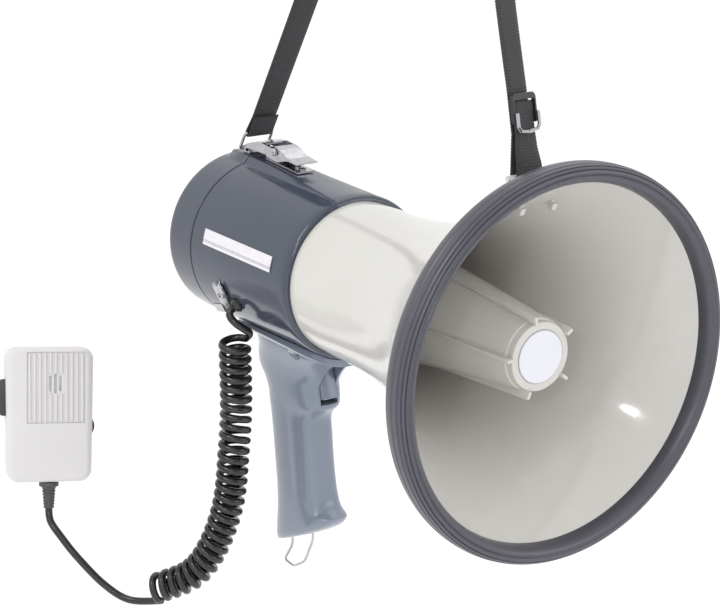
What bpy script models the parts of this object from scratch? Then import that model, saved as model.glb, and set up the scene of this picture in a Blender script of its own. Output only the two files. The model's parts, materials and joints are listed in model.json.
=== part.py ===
"""Hand megaphone: reflex horn, battery casing, pistol grip, fist microphone on a curly cord."""
import math
import bpy
import bmesh
from mathutils import Matrix, Vector, Euler

# Driving sizes in metres. The origin is where the hand closes on the grip.
# +X is the way the horn points, +Z is up, and -Y is the microphone's side.
MOUTH_X = 0.268        # plane of the horn's mouth
AXIS_Z = 0.135         # height of the horn's axis
RIM_R = 0.115          # outside of the rubber rim
NECK_R = 0.0508        # outside of the horn's neck
BELL_GROWTH = 0.056    # how much the bell widens from neck to mouth
BELL_LEN = 0.178       # length over which it widens
BELL_POWER = 2.2       # how suddenly it widens
BELL_WALL = 0.0024
CASE_R_REAR = 0.0573   # casing radius at the cover's seam
CASE_R_FRONT = 0.0545  # casing radius at the front collar
CASE_REAR = -0.3192    # these are measured from the mouth's plane
CASE_FRONT = -0.2025
COVER_FRONT = -0.3204
COVER_REAR = -0.3525
CASE_WALL = 0.0026
CUP_FACE = -0.0185     # front face of the reflector
CUP_REAR = -0.150
WEB_W = 0.0190         # strap webbing
WEB_T = 0.0013
CORD_R = 0.0026        # microphone cord
COIL_R = 0.0112        # outside of its curls
FIN_FIRST = math.radians(59.0)   # angle of the first fin from the top

COLL = bpy.data.collections.new("hand_megaphone")
TOOLS = bpy.data.collections.new("cutters")


def clear_scene():
    for ob in list(bpy.data.objects):
        bpy.data.objects.remove(ob, do_unlink=True)
    bpy.context.scene.collection.children.link(COLL)
    bpy.context.scene.collection.children.link(TOOLS)


def at(x, y, z):
    """A point given from the mouth's centre, x along the horn's axis."""
    return Vector((MOUTH_X + x, y, AXIS_Z + z))


def material(name, rgb, rough, metal=0.0):
    m = bpy.data.materials.new(name)
    m.use_nodes = True
    b = m.node_tree.nodes["Principled BSDF"]
    b.inputs["Base Color"].default_value = (*rgb, 1.0)
    b.inputs["Roughness"].default_value = rough
    b.inputs["Metallic"].default_value = metal
    return m


def put(name, mesh, mat=None, loc=(0, 0, 0), rot=(0, 0, 0), smooth=True):
    """Link a mesh as a sub-part, or as a cutter when it has no material."""
    ob = bpy.data.objects.new(name, mesh)
    ob.location = loc
    ob.rotation_euler = rot
    if mat is None:
        TOOLS.objects.link(ob)
        ob.hide_render = True
        ob.display_type = "WIRE"
    else:
        COLL.objects.link(ob)
        mesh.materials.append(mat)
        if smooth:
            mesh.shade_smooth()
            mesh.set_sharp_from_angle(angle=math.radians(35))
    return ob


ALONG_X = (0.0, math.pi / 2, 0.0)   # turns a part made about Z onto the horn's axis
ALONG_Y = (math.pi / 2, 0.0, 0.0)


def turned(name, profile, mat=None, steps=48, closed=True, loc=None, rot=ALONG_X):
    """Turn a profile of (radius, height) about Z; it runs down the outer side first."""
    mesh = bpy.data.meshes.new(name)
    n = len(profile)
    edges = [(i, i + 1) for i in range(n - 1)] + ([(n - 1, 0)] if closed else [])
    mesh.from_pydata([(r, 0.0, h) for r, h in profile], edges, [])
    ob = put(name, mesh, mat, at(0, 0, 0) if loc is None else loc, rot, smooth=False)
    m = ob.modifiers.new("turn", "SCREW")
    m.angle = math.tau
    m.steps = m.render_steps = steps
    m.use_merge_vertices = True
    m.merge_threshold = 0.00001
    m.use_smooth_shade = True
    return ob


def cylinder(name, r, depth, mat=None, loc=(0, 0, 0), rot=(0, 0, 0), sides=24, r2=None):
    mesh = bpy.data.meshes.new(name)
    bm = bmesh.new()
    bmesh.ops.create_cone(bm, cap_ends=True, segments=sides, radius1=r,
                          radius2=r if r2 is None else r2, depth=depth)
    bm.to_mesh(mesh)
    bm.free()
    return put(name, mesh, mat, loc, rot)


def box(name, size, mat=None, loc=(0, 0, 0), rot=(0, 0, 0), bevel=0.0, segments=2):
    mesh = bpy.data.meshes.new(name)
    bm = bmesh.new()
    bmesh.ops.create_cube(bm, size=1.0)
    bmesh.ops.scale(bm, vec=size, verts=bm.verts)
    bm.to_mesh(mesh)
    bm.free()
    ob = put(name, mesh, mat, loc, rot)
    if bevel > 0:
        b = ob.modifiers.new("edges", "BEVEL")
        b.width = bevel
        b.segments = segments
        b.limit_method = "ANGLE"
    return ob


def outline(name, pts, thick, mat=None, loc=(0, 0, 0), rot=(0, 0, 0), bevel=0.0):
    """A flat outline in its own XY plane, extruded half its thickness each way."""
    cu = bpy.data.curves.new(name, "CURVE")
    cu.dimensions = "2D"
    cu.fill_mode = "BOTH"
    cu.extrude = thick / 2
    sp = cu.splines.new("POLY")
    sp.points.add(len(pts) - 1)
    for p, q in zip(sp.points, pts):
        p.co = (q[0], q[1], 0.0, 1.0)
    sp.use_cyclic_u = True
    return meshed(name, cu, mat, loc, rot, bevel)


def meshed(name, cu, mat, loc=(0, 0, 0), rot=(0, 0, 0), bevel=0.0):
    """Turn a curve into a mesh with welded caps, so that it can be cut and bevelled."""
    tmp = bpy.data.objects.new(name + "_curve", cu)
    COLL.objects.link(tmp)
    deps = bpy.context.evaluated_depsgraph_get()
    deps.update()
    mesh = bpy.data.meshes.new_from_object(tmp.evaluated_get(deps))
    bpy.data.objects.remove(tmp, do_unlink=True)
    bm = bmesh.new()
    bm.from_mesh(mesh)
    bmesh.ops.remove_doubles(bm, verts=bm.verts, dist=0.00001)
    bmesh.ops.recalc_face_normals(bm, faces=bm.faces)
    bm.to_mesh(mesh)
    bm.free()
    mesh.name = name
    ob = put(name, mesh, mat, loc, rot)
    if bevel > 0:
        b = ob.modifiers.new("edges", "BEVEL")
        b.width = bevel
        b.segments = 1
        b.limit_method = "ANGLE"
    return ob


def wire(name, pts, r, mat=None, cyclic=False, res=2, origin=None):
    """A round wire through its points, with filled ends."""
    o = Vector(origin) if origin is not None else Vector((0, 0, 0))
    cu = bpy.data.curves.new(name, "CURVE")
    cu.dimensions = "3D"
    cu.bevel_depth = r
    cu.bevel_resolution = res
    cu.use_fill_caps = True
    sp = cu.splines.new("POLY")
    sp.points.add(len(pts) - 1)
    for p, q in zip(sp.points, pts):
        p.co = (*(Vector(q) - o), 1.0)
    sp.use_cyclic_u = cyclic
    return meshed(name, cu, mat, o)


def smooth_route(route, step):
    """Evenly spaced points on the Catmull-Rom curve through a route's own points."""
    p = [Vector(q) for q in route]
    p = [2 * p[0] - p[1]] + p + [2 * p[-1] - p[-2]]
    fine = []
    for i in range(1, len(p) - 2):
        a, b, c, d = p[i - 1:i + 3]
        for k in range(24):
            t = k / 24
            fine.append(0.5 * ((2 * b) + (c - a) * t + (2 * a - 5 * b + 4 * c - d) * t * t
                               + (3 * b - a - 3 * c + d) * t ** 3))
    fine.append(p[-2])
    length = [0.0]
    for q, r in zip(fine, fine[1:]):
        length.append(length[-1] + (r - q).length)
    n = max(2, round(length[-1] / step))
    out, j = [], 0
    for k in range(n + 1):
        s = length[-1] * k / n
        while j < len(fine) - 2 and length[j + 1] < s:
            j += 1
        span = length[j + 1] - length[j]
        out.append(fine[j].lerp(fine[j + 1], 0 if span == 0 else min(1, (s - length[j]) / span)))
    return out


def loft(name, rings, mat=None, loc=(0, 0, 0), rot=(0, 0, 0)):
    """Skin a row of rings with equal counts, bottom to top, and close both ends."""
    mesh = bpy.data.meshes.new(name)
    n = len(rings[0])
    verts = [v for ring in rings for v in ring]
    faces = [tuple(range(n - 1, -1, -1))]
    for k in range(len(rings) - 1):
        for i in range(n):
            j = (i + 1) % n
            faces.append((k * n + i, k * n + j, (k + 1) * n + j, (k + 1) * n + i))
    faces.append(tuple(range((len(rings) - 1) * n, len(rings) * n)))
    mesh.from_pydata([tuple(v) for v in verts], [], faces)
    bm = bmesh.new()
    bm.from_mesh(mesh)
    bmesh.ops.recalc_face_normals(bm, faces=bm.faces)
    bm.to_mesh(mesh)
    bm.free()
    return put(name, mesh, mat, loc, rot)


def cut(ob, tool, operation="DIFFERENCE"):
    m = ob.modifiers.new(tool.name, "BOOLEAN")
    m.operation = operation
    m.object = tool
    m.solver = "EXACT"
    return ob


def join(ob, tool):
    return cut(ob, tool, "UNION")


def oval(a, b, n, power=2.0):
    """Points of a super-ellipse, counter-clockwise, half-axes a and b."""
    out = []
    for i in range(n):
        t = math.tau * i / n
        c, s = math.cos(t), math.sin(t)
        out.append((a * math.copysign(abs(c) ** (2 / power), c),
                    b * math.copysign(abs(s) ** (2 / power), s)))
    return out


# ---------------------------------------------------------------- materials
CREAM = material("horn_plastic", (0.72, 0.71, 0.68), 0.28)
SLATE = material("casing_plastic", (0.135, 0.155, 0.195), 0.30)
GRIP = material("grip_plastic", (0.19, 0.225, 0.275), 0.28)
RUBBER = material("rim_rubber", (0.115, 0.112, 0.140), 0.45)
SEAL = material("seal_rubber", (0.02, 0.02, 0.025), 0.6)
WHITE = material("badge_film", (0.85, 0.85, 0.92), 0.5)
CHROME = material("chromed_steel", (0.75, 0.75, 0.77), 0.15, 1.0)
STEEL = material("steel", (0.55, 0.55, 0.56), 0.35, 1.0)
ALU = material("aluminium", (0.70, 0.71, 0.72), 0.35, 1.0)
FERRITE = material("ferrite", (0.04, 0.04, 0.045), 0.6)
PHENOLIC = material("diaphragm_film", (0.30, 0.16, 0.06), 0.5)
CELL = material("cell_jacket", (0.05, 0.06, 0.08), 0.4)
BOARD = material("circuit_board", (0.03, 0.16, 0.07), 0.5)
BLACK = material("black_plastic", (0.02, 0.02, 0.022), 0.4)
DARK = material("dark_grey_plastic", (0.05, 0.052, 0.058), 0.45)
CORD = material("cord_jacket", (0.012, 0.012, 0.014), 0.25)
WEB = material("webbing", (0.022, 0.022, 0.025), 0.8)
SILVER = material("label_film", (0.75, 0.74, 0.78), 0.35, 0.3)
MICWHITE = material("microphone_plastic", (0.78, 0.77, 0.80), 0.35)


def bell_outer(x):
    """Outside radius of the horn at x behind the mouth."""
    s = max(0.0, (x + BELL_LEN) / BELL_LEN)
    return 0.0510 + BELL_GROWTH * s ** BELL_POWER


def case_r(x):
    """Outside radius of the tapered casing."""
    t = (x - CASE_REAR) / (CASE_FRONT - CASE_REAR)
    return CASE_R_REAR + (CASE_R_FRONT - CASE_R_REAR) * t


# ---------------------------------------------------------------- horn
def make_horn():
    outer, inner = [], []
    for k in range(8):
        x = -BELL_LEN * (k / 7) ** 1.25
        r = bell_outer(x)
        slope = (bell_outer(x + 1e-4) - bell_outer(x - 1e-4)) / 2e-4
        d = math.hypot(1, slope)
        outer.append((r, x))
        inner.append((r - BELL_WALL / d, x + BELL_WALL * slope / d))
    outer += [(NECK_R, -0.200), (NECK_R, -0.2220), (0.0130, -0.2220), (0.0130, -0.2196)]
    inner.append((0.0484, -0.2196))
    inner.sort(key=lambda q: q[1])
    bell = turned("horn_bell", outer + inner, CREAM, steps=44)
    # two slots near the top of the mouth for the strap bracket's legs
    for side in (-1, 1):
        slot = box(f"bracket_slot_{side}", (0.0056, 0.0038, 0.030), None,
                   at(-0.0262, 0.0112 * side, 0.0890))
        cut(bell, slot)

    rim = [(0.1090, 0.0092), (0.1122, 0.0080), (0.1143, 0.0046), (RIM_R, 0.0),
           (0.1143, -0.0046), (0.1122, -0.0080), (0.1090, -0.0092), (0.1046, -0.0090),
           (bell_outer(-0.0086) + 0.0006, -0.0086), (bell_outer(-0.0040) + 0.0006, -0.0040),
           (bell_outer(0.0) + 0.0004, 0.0001), (bell_outer(0.0) + 0.0002, 0.0005),
           (0.1048, 0.0021), (0.1037, 0.0021), (0.1038, 0.0052), (0.1056, 0.0082)]
    turned("rim_bumper", rim, RUBBER, steps=44)


def cup_r(x):
    """Outside radius of the reflector's body."""
    t = (x - (-0.022)) / (-0.128)
    return 0.0212 + 0.0138 * min(1.0, max(0.0, t)) ** 0.92


def make_reflector():
    body = [(0.0, CUP_FACE - 0.0004), (0.0160, CUP_FACE - 0.0004), (0.0160, CUP_FACE),
            (0.0198, CUP_FACE), (0.0203, CUP_FACE - 0.0006), (0.0205, -0.0215)]
    body += [(cup_r(x), x) for x in (-0.0240, -0.050, -0.080, -0.110, CUP_REAR)]
    body += [(cup_r(x) - 0.0022, x) for x in (CUP_REAR, -0.110, -0.080, -0.050, -0.0240)]
    body += [(0.0165, -0.0215), (0.0, -0.0215)]
    cup = turned("reflector_cup", body, CREAM, steps=32, closed=False)
    # five fins stand on the body and carry it to the wall of the neck
    edge = [(-0.0162, 0.0252), (-0.060, 0.0276), (-0.095, 0.0296), (-0.140, 0.0360),
            (-0.172, 0.0481), (-0.205, 0.0481), (-0.205, 0.0420), (-0.172, 0.0400),
            (-0.1480, 0.0340), (-0.110, 0.0302), (-0.050, 0.0225), (-0.0232, 0.0200),
            (-0.0205, 0.0196), (-0.0162, 0.0205)]
    for k in range(5):
        a = FIN_FIRST + math.tau * k / 5
        fin = outline(f"fin_{k}", [(x, r) for x, r in edge], 0.0019, None,
                      at(0, 0, 0), (math.pi / 2 - a, 0, 0))
        join(cup, fin)
    turned("reflector_badge", [(0.0, CUP_FACE + 0.0006), (0.0152, CUP_FACE + 0.0006),
                               (0.0155, CUP_FACE + 0.0003), (0.0155, CUP_FACE - 0.0001),
                               (0.0, CUP_FACE - 0.0001)], WHITE, steps=32, closed=False)
    tube = [(0.0175, -0.048), (0.0127, -0.150), (0.0127, -0.2170), (0.0165, -0.2170),
            (0.0165, -0.2192), (0.0127, -0.2192), (0.0127, -0.2240), (0.0107, -0.2240),
            (0.0107, -0.150), (0.0158, -0.048)]
    turned("throat_tube", tube, CREAM, steps=28)


def make_driver():
    x0 = -0.2243
    turned("driver_front_plate", [(0.0380, x0), (0.0380, x0 - 0.0050), (0.0175, x0 - 0.0050),
                                  (0.0110, x0 - 0.0012), (0.0110, x0)], STEEL, steps=32)
    turned("driver_magnet", [(0.0400, x0 - 0.0053), (0.0400, x0 - 0.0200),
                             (0.0215, x0 - 0.0200), (0.0215, x0 - 0.0053)], FERRITE, steps=32)
    turned("driver_yoke", [(0.0, x0 - 0.0092), (0.0125, x0 - 0.0092), (0.0125, x0 - 0.0203),
                           (0.0375, x0 - 0.0203), (0.0375, x0 - 0.0253), (0.0, x0 - 0.0253)],
           STEEL, steps=32, closed=False)
    turned("driver_diaphragm", [(0.0, x0 - 0.0030), (0.0075, x0 - 0.0042), (0.0118, x0 - 0.0070),
                                (0.0150, x0 - 0.0070), (0.0150, x0 - 0.0145),
                                (0.0140, x0 - 0.0145), (0.0140, x0 - 0.0084),
                                (0.0110, x0 - 0.0084), (0.0070, x0 - 0.0056),
                                (0.0, x0 - 0.0044)], PHENOLIC, steps=28, closed=False)


# ---------------------------------------------------------------- casing
def pad_block(name, stations):
    """The raised landing on top: (x, half width on top, half width at base, top, base)."""
    rings = []
    for x, wt, wb, zt, zb in stations:
        rings.append([at(x, -wb, zb), at(x, wb, zb), at(x, wt, zt), at(x, -wt, zt)])
    return loft(name, rings)


def make_casing():
    w = CASE_WALL
    prof = [(case_r(CASE_FRONT) - 0.0034, CASE_FRONT), (case_r(CASE_FRONT) - 0.0011, -0.2036),
            (case_r(CASE_FRONT), -0.2062), (case_r(-0.230), -0.230),
            (CASE_R_REAR, CASE_REAR), (CASE_R_REAR - w, CASE_REAR),
            (case_r(-0.230) - w, -0.230), (case_r(CASE_FRONT) - w - 0.0002, -0.2068),
            (NECK_R + 0.0003, -0.2048), (NECK_R + 0.0003, CASE_FRONT)]
    case = turned("main_casing", prof, SLATE, steps=44)
    pad = pad_block("casing_pad", [(CASE_REAR, 0.0100, 0.0145, 0.0606, 0.0549),
                                   (-0.2900, 0.0100, 0.0150, 0.0588, 0.0542),
                                   (-0.2500, 0.0112, 0.0160, 0.0561, 0.0531),
                                   (-0.2120, 0.0148, 0.0160, 0.0535, 0.0523)])
    join(case, pad)
    # knuckles of the cover's hinge, underneath
    for side in (-1, 1):
        kn = outline(f"casing_knuckle_{side}", [(-0.0034, 0.0), (-0.0017, -0.0030),
                     (0.0017, -0.0030), (0.0034, 0.0), (0.0110, 0.0062), (0.0008, 0.0062),
                     (0.0008, 0.0036), (-0.0024, 0.0026)],
                     0.0070, None, at(-0.3197, 0.0082 * side, -0.0612), ALONG_Y)
        join(case, kn)
    bore = cylinder("casing_hinge_bore", 0.0016, 0.06, None, at(-0.3197, 0, -0.0612), ALONG_Y, 16)
    cut(case, bore)
    # wire opening into the grip, and the cord's hole
    cut(case, box("grip_opening", (0.040, 0.016, 0.020), None, at(-0.272, 0, -0.0550)))
    hole = cylinder("cord_hole", 0.0044, 0.020, None, cord_hole_place(), cord_hole_turn(), 20)
    cut(case, hole)
    for side in (-1, 1):
        cut(case, cylinder(f"case_screw_hole_{side}", 0.0017, 0.012, None,
                           screw_place(side, 0.0560), screw_turn(side), 12))

    # rear cover with its own stretch of landing and the middle knuckle
    t = 0.0026
    r = CASE_R_REAR
    xr = COVER_REAR
    cov = [(r, COVER_FRONT), (r, xr + 0.0050), (r - 0.0013, xr + 0.0015), (r - 0.0045, xr),
           (0.0, xr)]
    cav = [(0.0, xr + t), (r - 0.0056, xr + t), (r - 0.0044, xr + 0.0040),
           (r - 0.0044, COVER_FRONT + 0.0034), (r - 0.0029, COVER_FRONT + 0.0034),
           (r - 0.0029, COVER_FRONT)]
    cover = turned("battery_cover", cav + cov, SLATE, steps=44, closed=False)
    cpad = pad_block("cover_pad", [(xr + 0.0060, 0.0085, 0.0120, 0.0570, 0.0549),
                                   (xr + 0.0110, 0.0098, 0.0142, 0.0606, 0.0549),
                                   (COVER_FRONT, 0.0100, 0.0145, 0.0606, 0.0549)])
    join(cover, cpad)
    kn = outline("cover_knuckle", [(0.0034, 0.0), (0.0017, -0.0030), (-0.0017, -0.0030),
                 (-0.0034, 0.0), (-0.0110, 0.0062), (-0.0010, 0.0062),
                 (-0.0010, 0.0036), (0.0024, 0.0026)],
                 0.0086, None, at(-0.3197, 0, -0.0612), ALONG_Y)
    join(cover, kn)
    cut(cover, cylinder("cover_hinge_bore", 0.0016, 0.03, None,
                        at(-0.3197, 0, -0.0612), ALONG_Y, 16))
    cylinder("cover_hinge_pin", 0.0013, 0.0226, STEEL, at(-0.3197, 0, -0.0612), ALONG_Y, 14)
    turned("cover_seal", [(CASE_R_REAR - 0.0006, -0.31950), (CASE_R_REAR - 0.0006, -0.32010),
                          (CASE_R_REAR - 0.0024, -0.32010), (CASE_R_REAR - 0.0024, -0.31950)],
           SEAL, steps=44)


def screw_place(side, r):
    a = math.radians(26.0)
    return at(-0.2385, side * r * math.sin(a), -r * math.cos(a))


def screw_turn(side):
    """Turns a screw made about Z so that +Z points out from the casing's axis."""
    return (math.pi + side * math.radians(26.0), 0, 0)


CORD_ANGLE = math.radians(117.5)   # of the gland, from the top towards -Y


def cord_hole_place(r=0.0560):
    return at(-0.2700, -r * math.sin(CORD_ANGLE), r * math.cos(CORD_ANGLE))


def cord_hole_turn():
    """Turns a part made about Z so that +Z points out of the casing at the gland."""
    return (CORD_ANGLE, 0, 0)


# ---------------------------------------------------------------- batteries, electronics
def make_inside():
    turned("bay_bulkhead", [(0.0, -0.2860), (0.0505, -0.2860), (0.0505, -0.2885),
                            (0.0, -0.2885)], BLACK, steps=32, closed=False)
    # a drum of two discs on a core holds eight cells around it
    turned("battery_drum", [(0.0, -0.2900), (0.0495, -0.2900), (0.0495, -0.2920),
                            (0.0180, -0.2920), (0.0180, -0.3455), (0.0495, -0.3455),
                            (0.0495, -0.3475), (0.0, -0.3475)], BLACK, steps=32, closed=False)
    for k in range(8):
        a = math.tau * (k + 0.5) / 8
        turned(f"battery_cell_{k + 1}",
               [(0.0, 0.0262), (0.0030, 0.0262), (0.0030, 0.0246), (0.0125, 0.0246),
                (0.0125, -0.0248), (0.0, -0.0248)],
               CELL, steps=14, closed=False,
               loc=at(-0.3190, 0.0332 * math.sin(a), 0.0332 * math.cos(a)))
    outline("amplifier_board", oval(0.0440, 0.0440, 32), 0.0016, BOARD,
            at(-0.2800, 0, 0), ALONG_X)
    sink = box("heat_sink", (0.0180, 0.0500, 0.0030), ALU, at(-0.2700, 0, 0.0240))
    for k in range(5):
        join(sink, box(f"sink_fin_{k}", (0.0178, 0.0016, 0.0090), None,
                       at(-0.2700, -0.0200 + 0.0100 * k, 0.0296)))
    box("output_transformer", (0.0150, 0.0300, 0.0260), STEEL, at(-0.2705, 0, -0.0060),
        bevel=0.0015, segments=1)


# ---------------------------------------------------------------- latch and strap loop
BASE_PIVOT = (-0.2960, 0.0658)
CLAW_PIVOT = (-0.2890, 0.0672)


def make_latch():
    # base plate with two ears, riveted to the landing
    tilt = math.atan2(0.0606 - 0.0561, 0.0692)
    base = box("latch_base", (0.0400, 0.0130, 0.0012), CHROME,
               at(-0.2835, 0, 0.05955), (0, tilt, 0))
    for side in (-1, 1):
        ear = outline(f"base_ear_{side}", [(-0.0042, -0.0062), (0.0042, -0.0066),
                      (0.0026, 0.0018), (0.0, 0.0027), (-0.0026, 0.0018)], 0.0010, None,
                      at(BASE_PIVOT[0], 0.0050 * side, BASE_PIVOT[1]), ALONG_Y)
        join(base, ear)
    cut(base, cylinder("base_pin_bore", 0.0013, 0.03, None,
                       at(BASE_PIVOT[0], 0, BASE_PIVOT[1]), ALONG_Y, 14))
    cylinder("latch_base_pin", 0.0010, 0.0162, STEEL, at(BASE_PIVOT[0], 0, BASE_PIVOT[1]),
             ALONG_Y, 14)
    for k, x in enumerate((-0.2730, -0.2670)):
        join(base, cylinder(f"latch_rivet_{k + 1}", 0.0022, 0.0020, None,
                            at(x, 0, 0.0603 - (x + 0.2835) * math.tan(tilt)), (0, tilt, 0), 16))

    # lever: a channel over the base, its front lip turned up
    o = at(BASE_PIVOT[0], 0, BASE_PIVOT[1])
    side_view = [(-0.0044, -0.0030), (0.0100, -0.0042), (0.0180, -0.0020), (0.0230, -0.0012),
                 (0.0345, -0.0018), (0.0345, -0.0008), (0.0235, 0.0004), (0.0130, 0.0046),
                 (0.0040, 0.0052), (-0.0036, 0.0040), (-0.0050, 0.0006)]
    lever = outline("latch_lever", side_view, 0.0160, CHROME, o, ALONG_Y)
    hollow = outline("lever_hollow", [(-0.0100, -0.0100), (0.0240, -0.0100), (0.0240, -0.0016),
                     (0.0120, 0.0030), (0.0040, 0.0040), (-0.0100, 0.0036)], 0.0136, None,
                     o, ALONG_Y)
    cut(lever, hollow)
    cut(lever, cylinder("lever_bore", 0.0013, 0.03, None, o, ALONG_Y, 14))
    c = at(CLAW_PIVOT[0], 0, CLAW_PIVOT[1])
    cut(lever, cylinder("lever_claw_bore", 0.0013, 0.03, None, c, ALONG_Y, 14))
    cylinder("latch_claw_pin", 0.0010, 0.0198, STEEL, c, ALONG_Y, 14)

    # claw: two arms beside the lever, joined by an arched plate with a hook at its end
    claw = outline("latch_claw", [(0.0034, 0.0), (0.0024, 0.0024), (0.0, 0.0034),
                   (-0.0140, 0.0046), (-0.0270, 0.0030), (-0.0352, 0.0004), (-0.0374, -0.0014),
                   (-0.0374, -0.0044), (-0.0362, -0.0044), (-0.0350, -0.0024),
                   (-0.0260, -0.0020), (-0.0120, -0.0022), (-0.0024, -0.0024)],
                   0.0196, CHROME, c, ALONG_Y)
    cut(claw, outline("claw_inside", [(-0.0120, 0.0100), (-0.0124, 0.0034), (-0.0270, 0.0018),
                      (-0.0348, -0.0008), (-0.0362, -0.0022), (-0.0362, -0.0100),
                      (0.0100, -0.0100), (0.0100, 0.0100)], 0.0168, None, c, ALONG_Y))
    cut(claw, cylinder("claw_bore", 0.0013, 0.03, None, c, ALONG_Y, 14))

    # strike on the cover, with a rolled sleeve for the strap's wire loop
    strike = outline("latch_strike", [(-0.3310, 0.0609), (-0.3226, 0.0609), (-0.3226, 0.0640),
                     (-0.3236, 0.0640), (-0.3236, 0.0619), (-0.3310, 0.0619)],
                     0.0160, CHROME, at(0, 0, 0), ALONG_Y)
    sleeve = cylinder("loop_sleeve", 0.0022, 0.0160, None, at(LOOP_X, 0, LOOP_Z), ALONG_Y, 18)
    join(strike, sleeve)
    cut(strike, cylinder("sleeve_bore", 0.0014, 0.03, None, at(LOOP_X, 0, LOOP_Z), ALONG_Y, 18))


LOOP_X, LOOP_Z = -0.3305, 0.0633       # bottom bar of the strap's rear loop
LOOP_LEAN = math.radians(33.0)         # it leans forwards along the strap
LOOP_TALL = 0.0140
LOOP_HALF = 0.0110


def rounded_path(corners, r, n=4, cyclic=False):
    """A path through the corners with each corner rounded to about r."""
    pts = [Vector(c) for c in corners]
    out = []
    m = len(pts)
    for i, p in enumerate(pts):
        if not cyclic and i in (0, m - 1):
            out.append(p)
            continue
        a, b = pts[i - 1], pts[(i + 1) % m]
        ra = min(r, (a - p).length * 0.45)
        rb = min(r, (b - p).length * 0.45)
        s, e = p + (a - p).normalized() * ra, p + (b - p).normalized() * rb
        for k in range(n + 1):
            t = k / n
            out.append(s * (1 - t) ** 2 + p * 2 * t * (1 - t) + e * t * t)
    return out


def make_strap_loop():
    up = Vector((math.sin(LOOP_LEAN), 0, math.cos(LOOP_LEAN)))
    o = at(LOOP_X, 0, LOOP_Z)
    side = Vector((0, LOOP_HALF, 0))
    corners = [o - side, o + side, o + side + up * LOOP_TALL, o - side + up * LOOP_TALL]
    path = rounded_path(corners, 0.0030, 4, cyclic=True)
    wire("rear_strap_loop", path, 0.0011, CHROME, cyclic=True, res=2, origin=o)


ANCHOR_X, ANCHOR_Z = -0.0350, 0.1008   # bar of the front strap bracket


def make_anchor():
    y = 0.0118
    bar = at(ANCHOR_X, 0, ANCHOR_Z)
    body = cylinder("front_strap_anchor", 0.0017, 2 * y + 0.0040, CREAM, bar, ALONG_Y, 16)
    for side in (-1, 1):
        arm = outline(f"anchor_arm_{side}", [(-0.0370, 0.1008), (-0.0370, 0.1020),
                      (-0.0350, 0.1026), (-0.0330, 0.1015), (-0.0245, 0.0940),
                      (-0.0245, 0.0860), (-0.0228, 0.0860), (-0.0245, 0.0822),
                      (-0.0279, 0.0822), (-0.0279, 0.0905), (-0.0340, 0.0905)],
                      0.0030, None, at(0, 0.0112 * side, 0), ALONG_Y)
        join(body, arm)


def ribbon(name, path, ups, width, thick, mat):
    """A strip of webbing along a path; ups gives the way its width points at each point."""
    mesh = bpy.data.meshes.new(name)
    verts, faces = [], []
    for p, w in zip(path, ups):
        verts += [p - w * (width / 2), p + w * (width / 2)]
    for i in range(len(path) - 1):
        faces.append((2 * i, 2 * i + 1, 2 * i + 3, 2 * i + 2))
    mesh.from_pydata([tuple(v) for v in verts], [], faces)
    ob = put(name, mesh, mat)
    m = ob.modifiers.new("thickness", "SOLIDIFY")
    m.thickness = thick
    m.offset = 0.0
    return ob


# the strap's line, from the rear loop over the shoulder's bight to the front bracket
STRAP = [(-0.3219, 0.0, 0.0778), (-0.2950, 0.0, 0.1190), (-0.2560, 0.0, 0.1790),
         (-0.2130, 0.0, 0.2460), (-0.1720, 0.0, 0.3090), (-0.1420, 0.0, 0.3530),
         (-0.1190, 0.0, 0.3700), (-0.0980, 0.0, 0.3560), (-0.0835, 0.0, 0.3130),
         (-0.0705, 0.0, 0.2530), (-0.0580, 0.0, 0.1960), (-0.0478, 0.0, 0.1550)]
FRONT_DIR = Vector((-0.207, 0.0, 0.978))   # up the front run from the bracket's bar
TWIST = math.radians(-18.0)                # the front run's turn once it is off the bar


def front_axes(d):
    """Across the webbing and off its face, at a distance d up the front run."""
    t = TWIST * max(0.0, min(1.0, d / 0.022))
    across = Vector((math.sin(t), math.cos(t), 0.0))
    across = (across - FRONT_DIR * across.dot(FRONT_DIR)).normalized()
    return across, across.cross(FRONT_DIR)


def front_frame(n, d, y=0.0):
    """A point on the front run: n off the strap's face, d up along it, y across."""
    across, off = front_axes(d)
    return at(ANCHOR_X, 0, ANCHOR_Z) + off * n + FRONT_DIR * d + across * y


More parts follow.
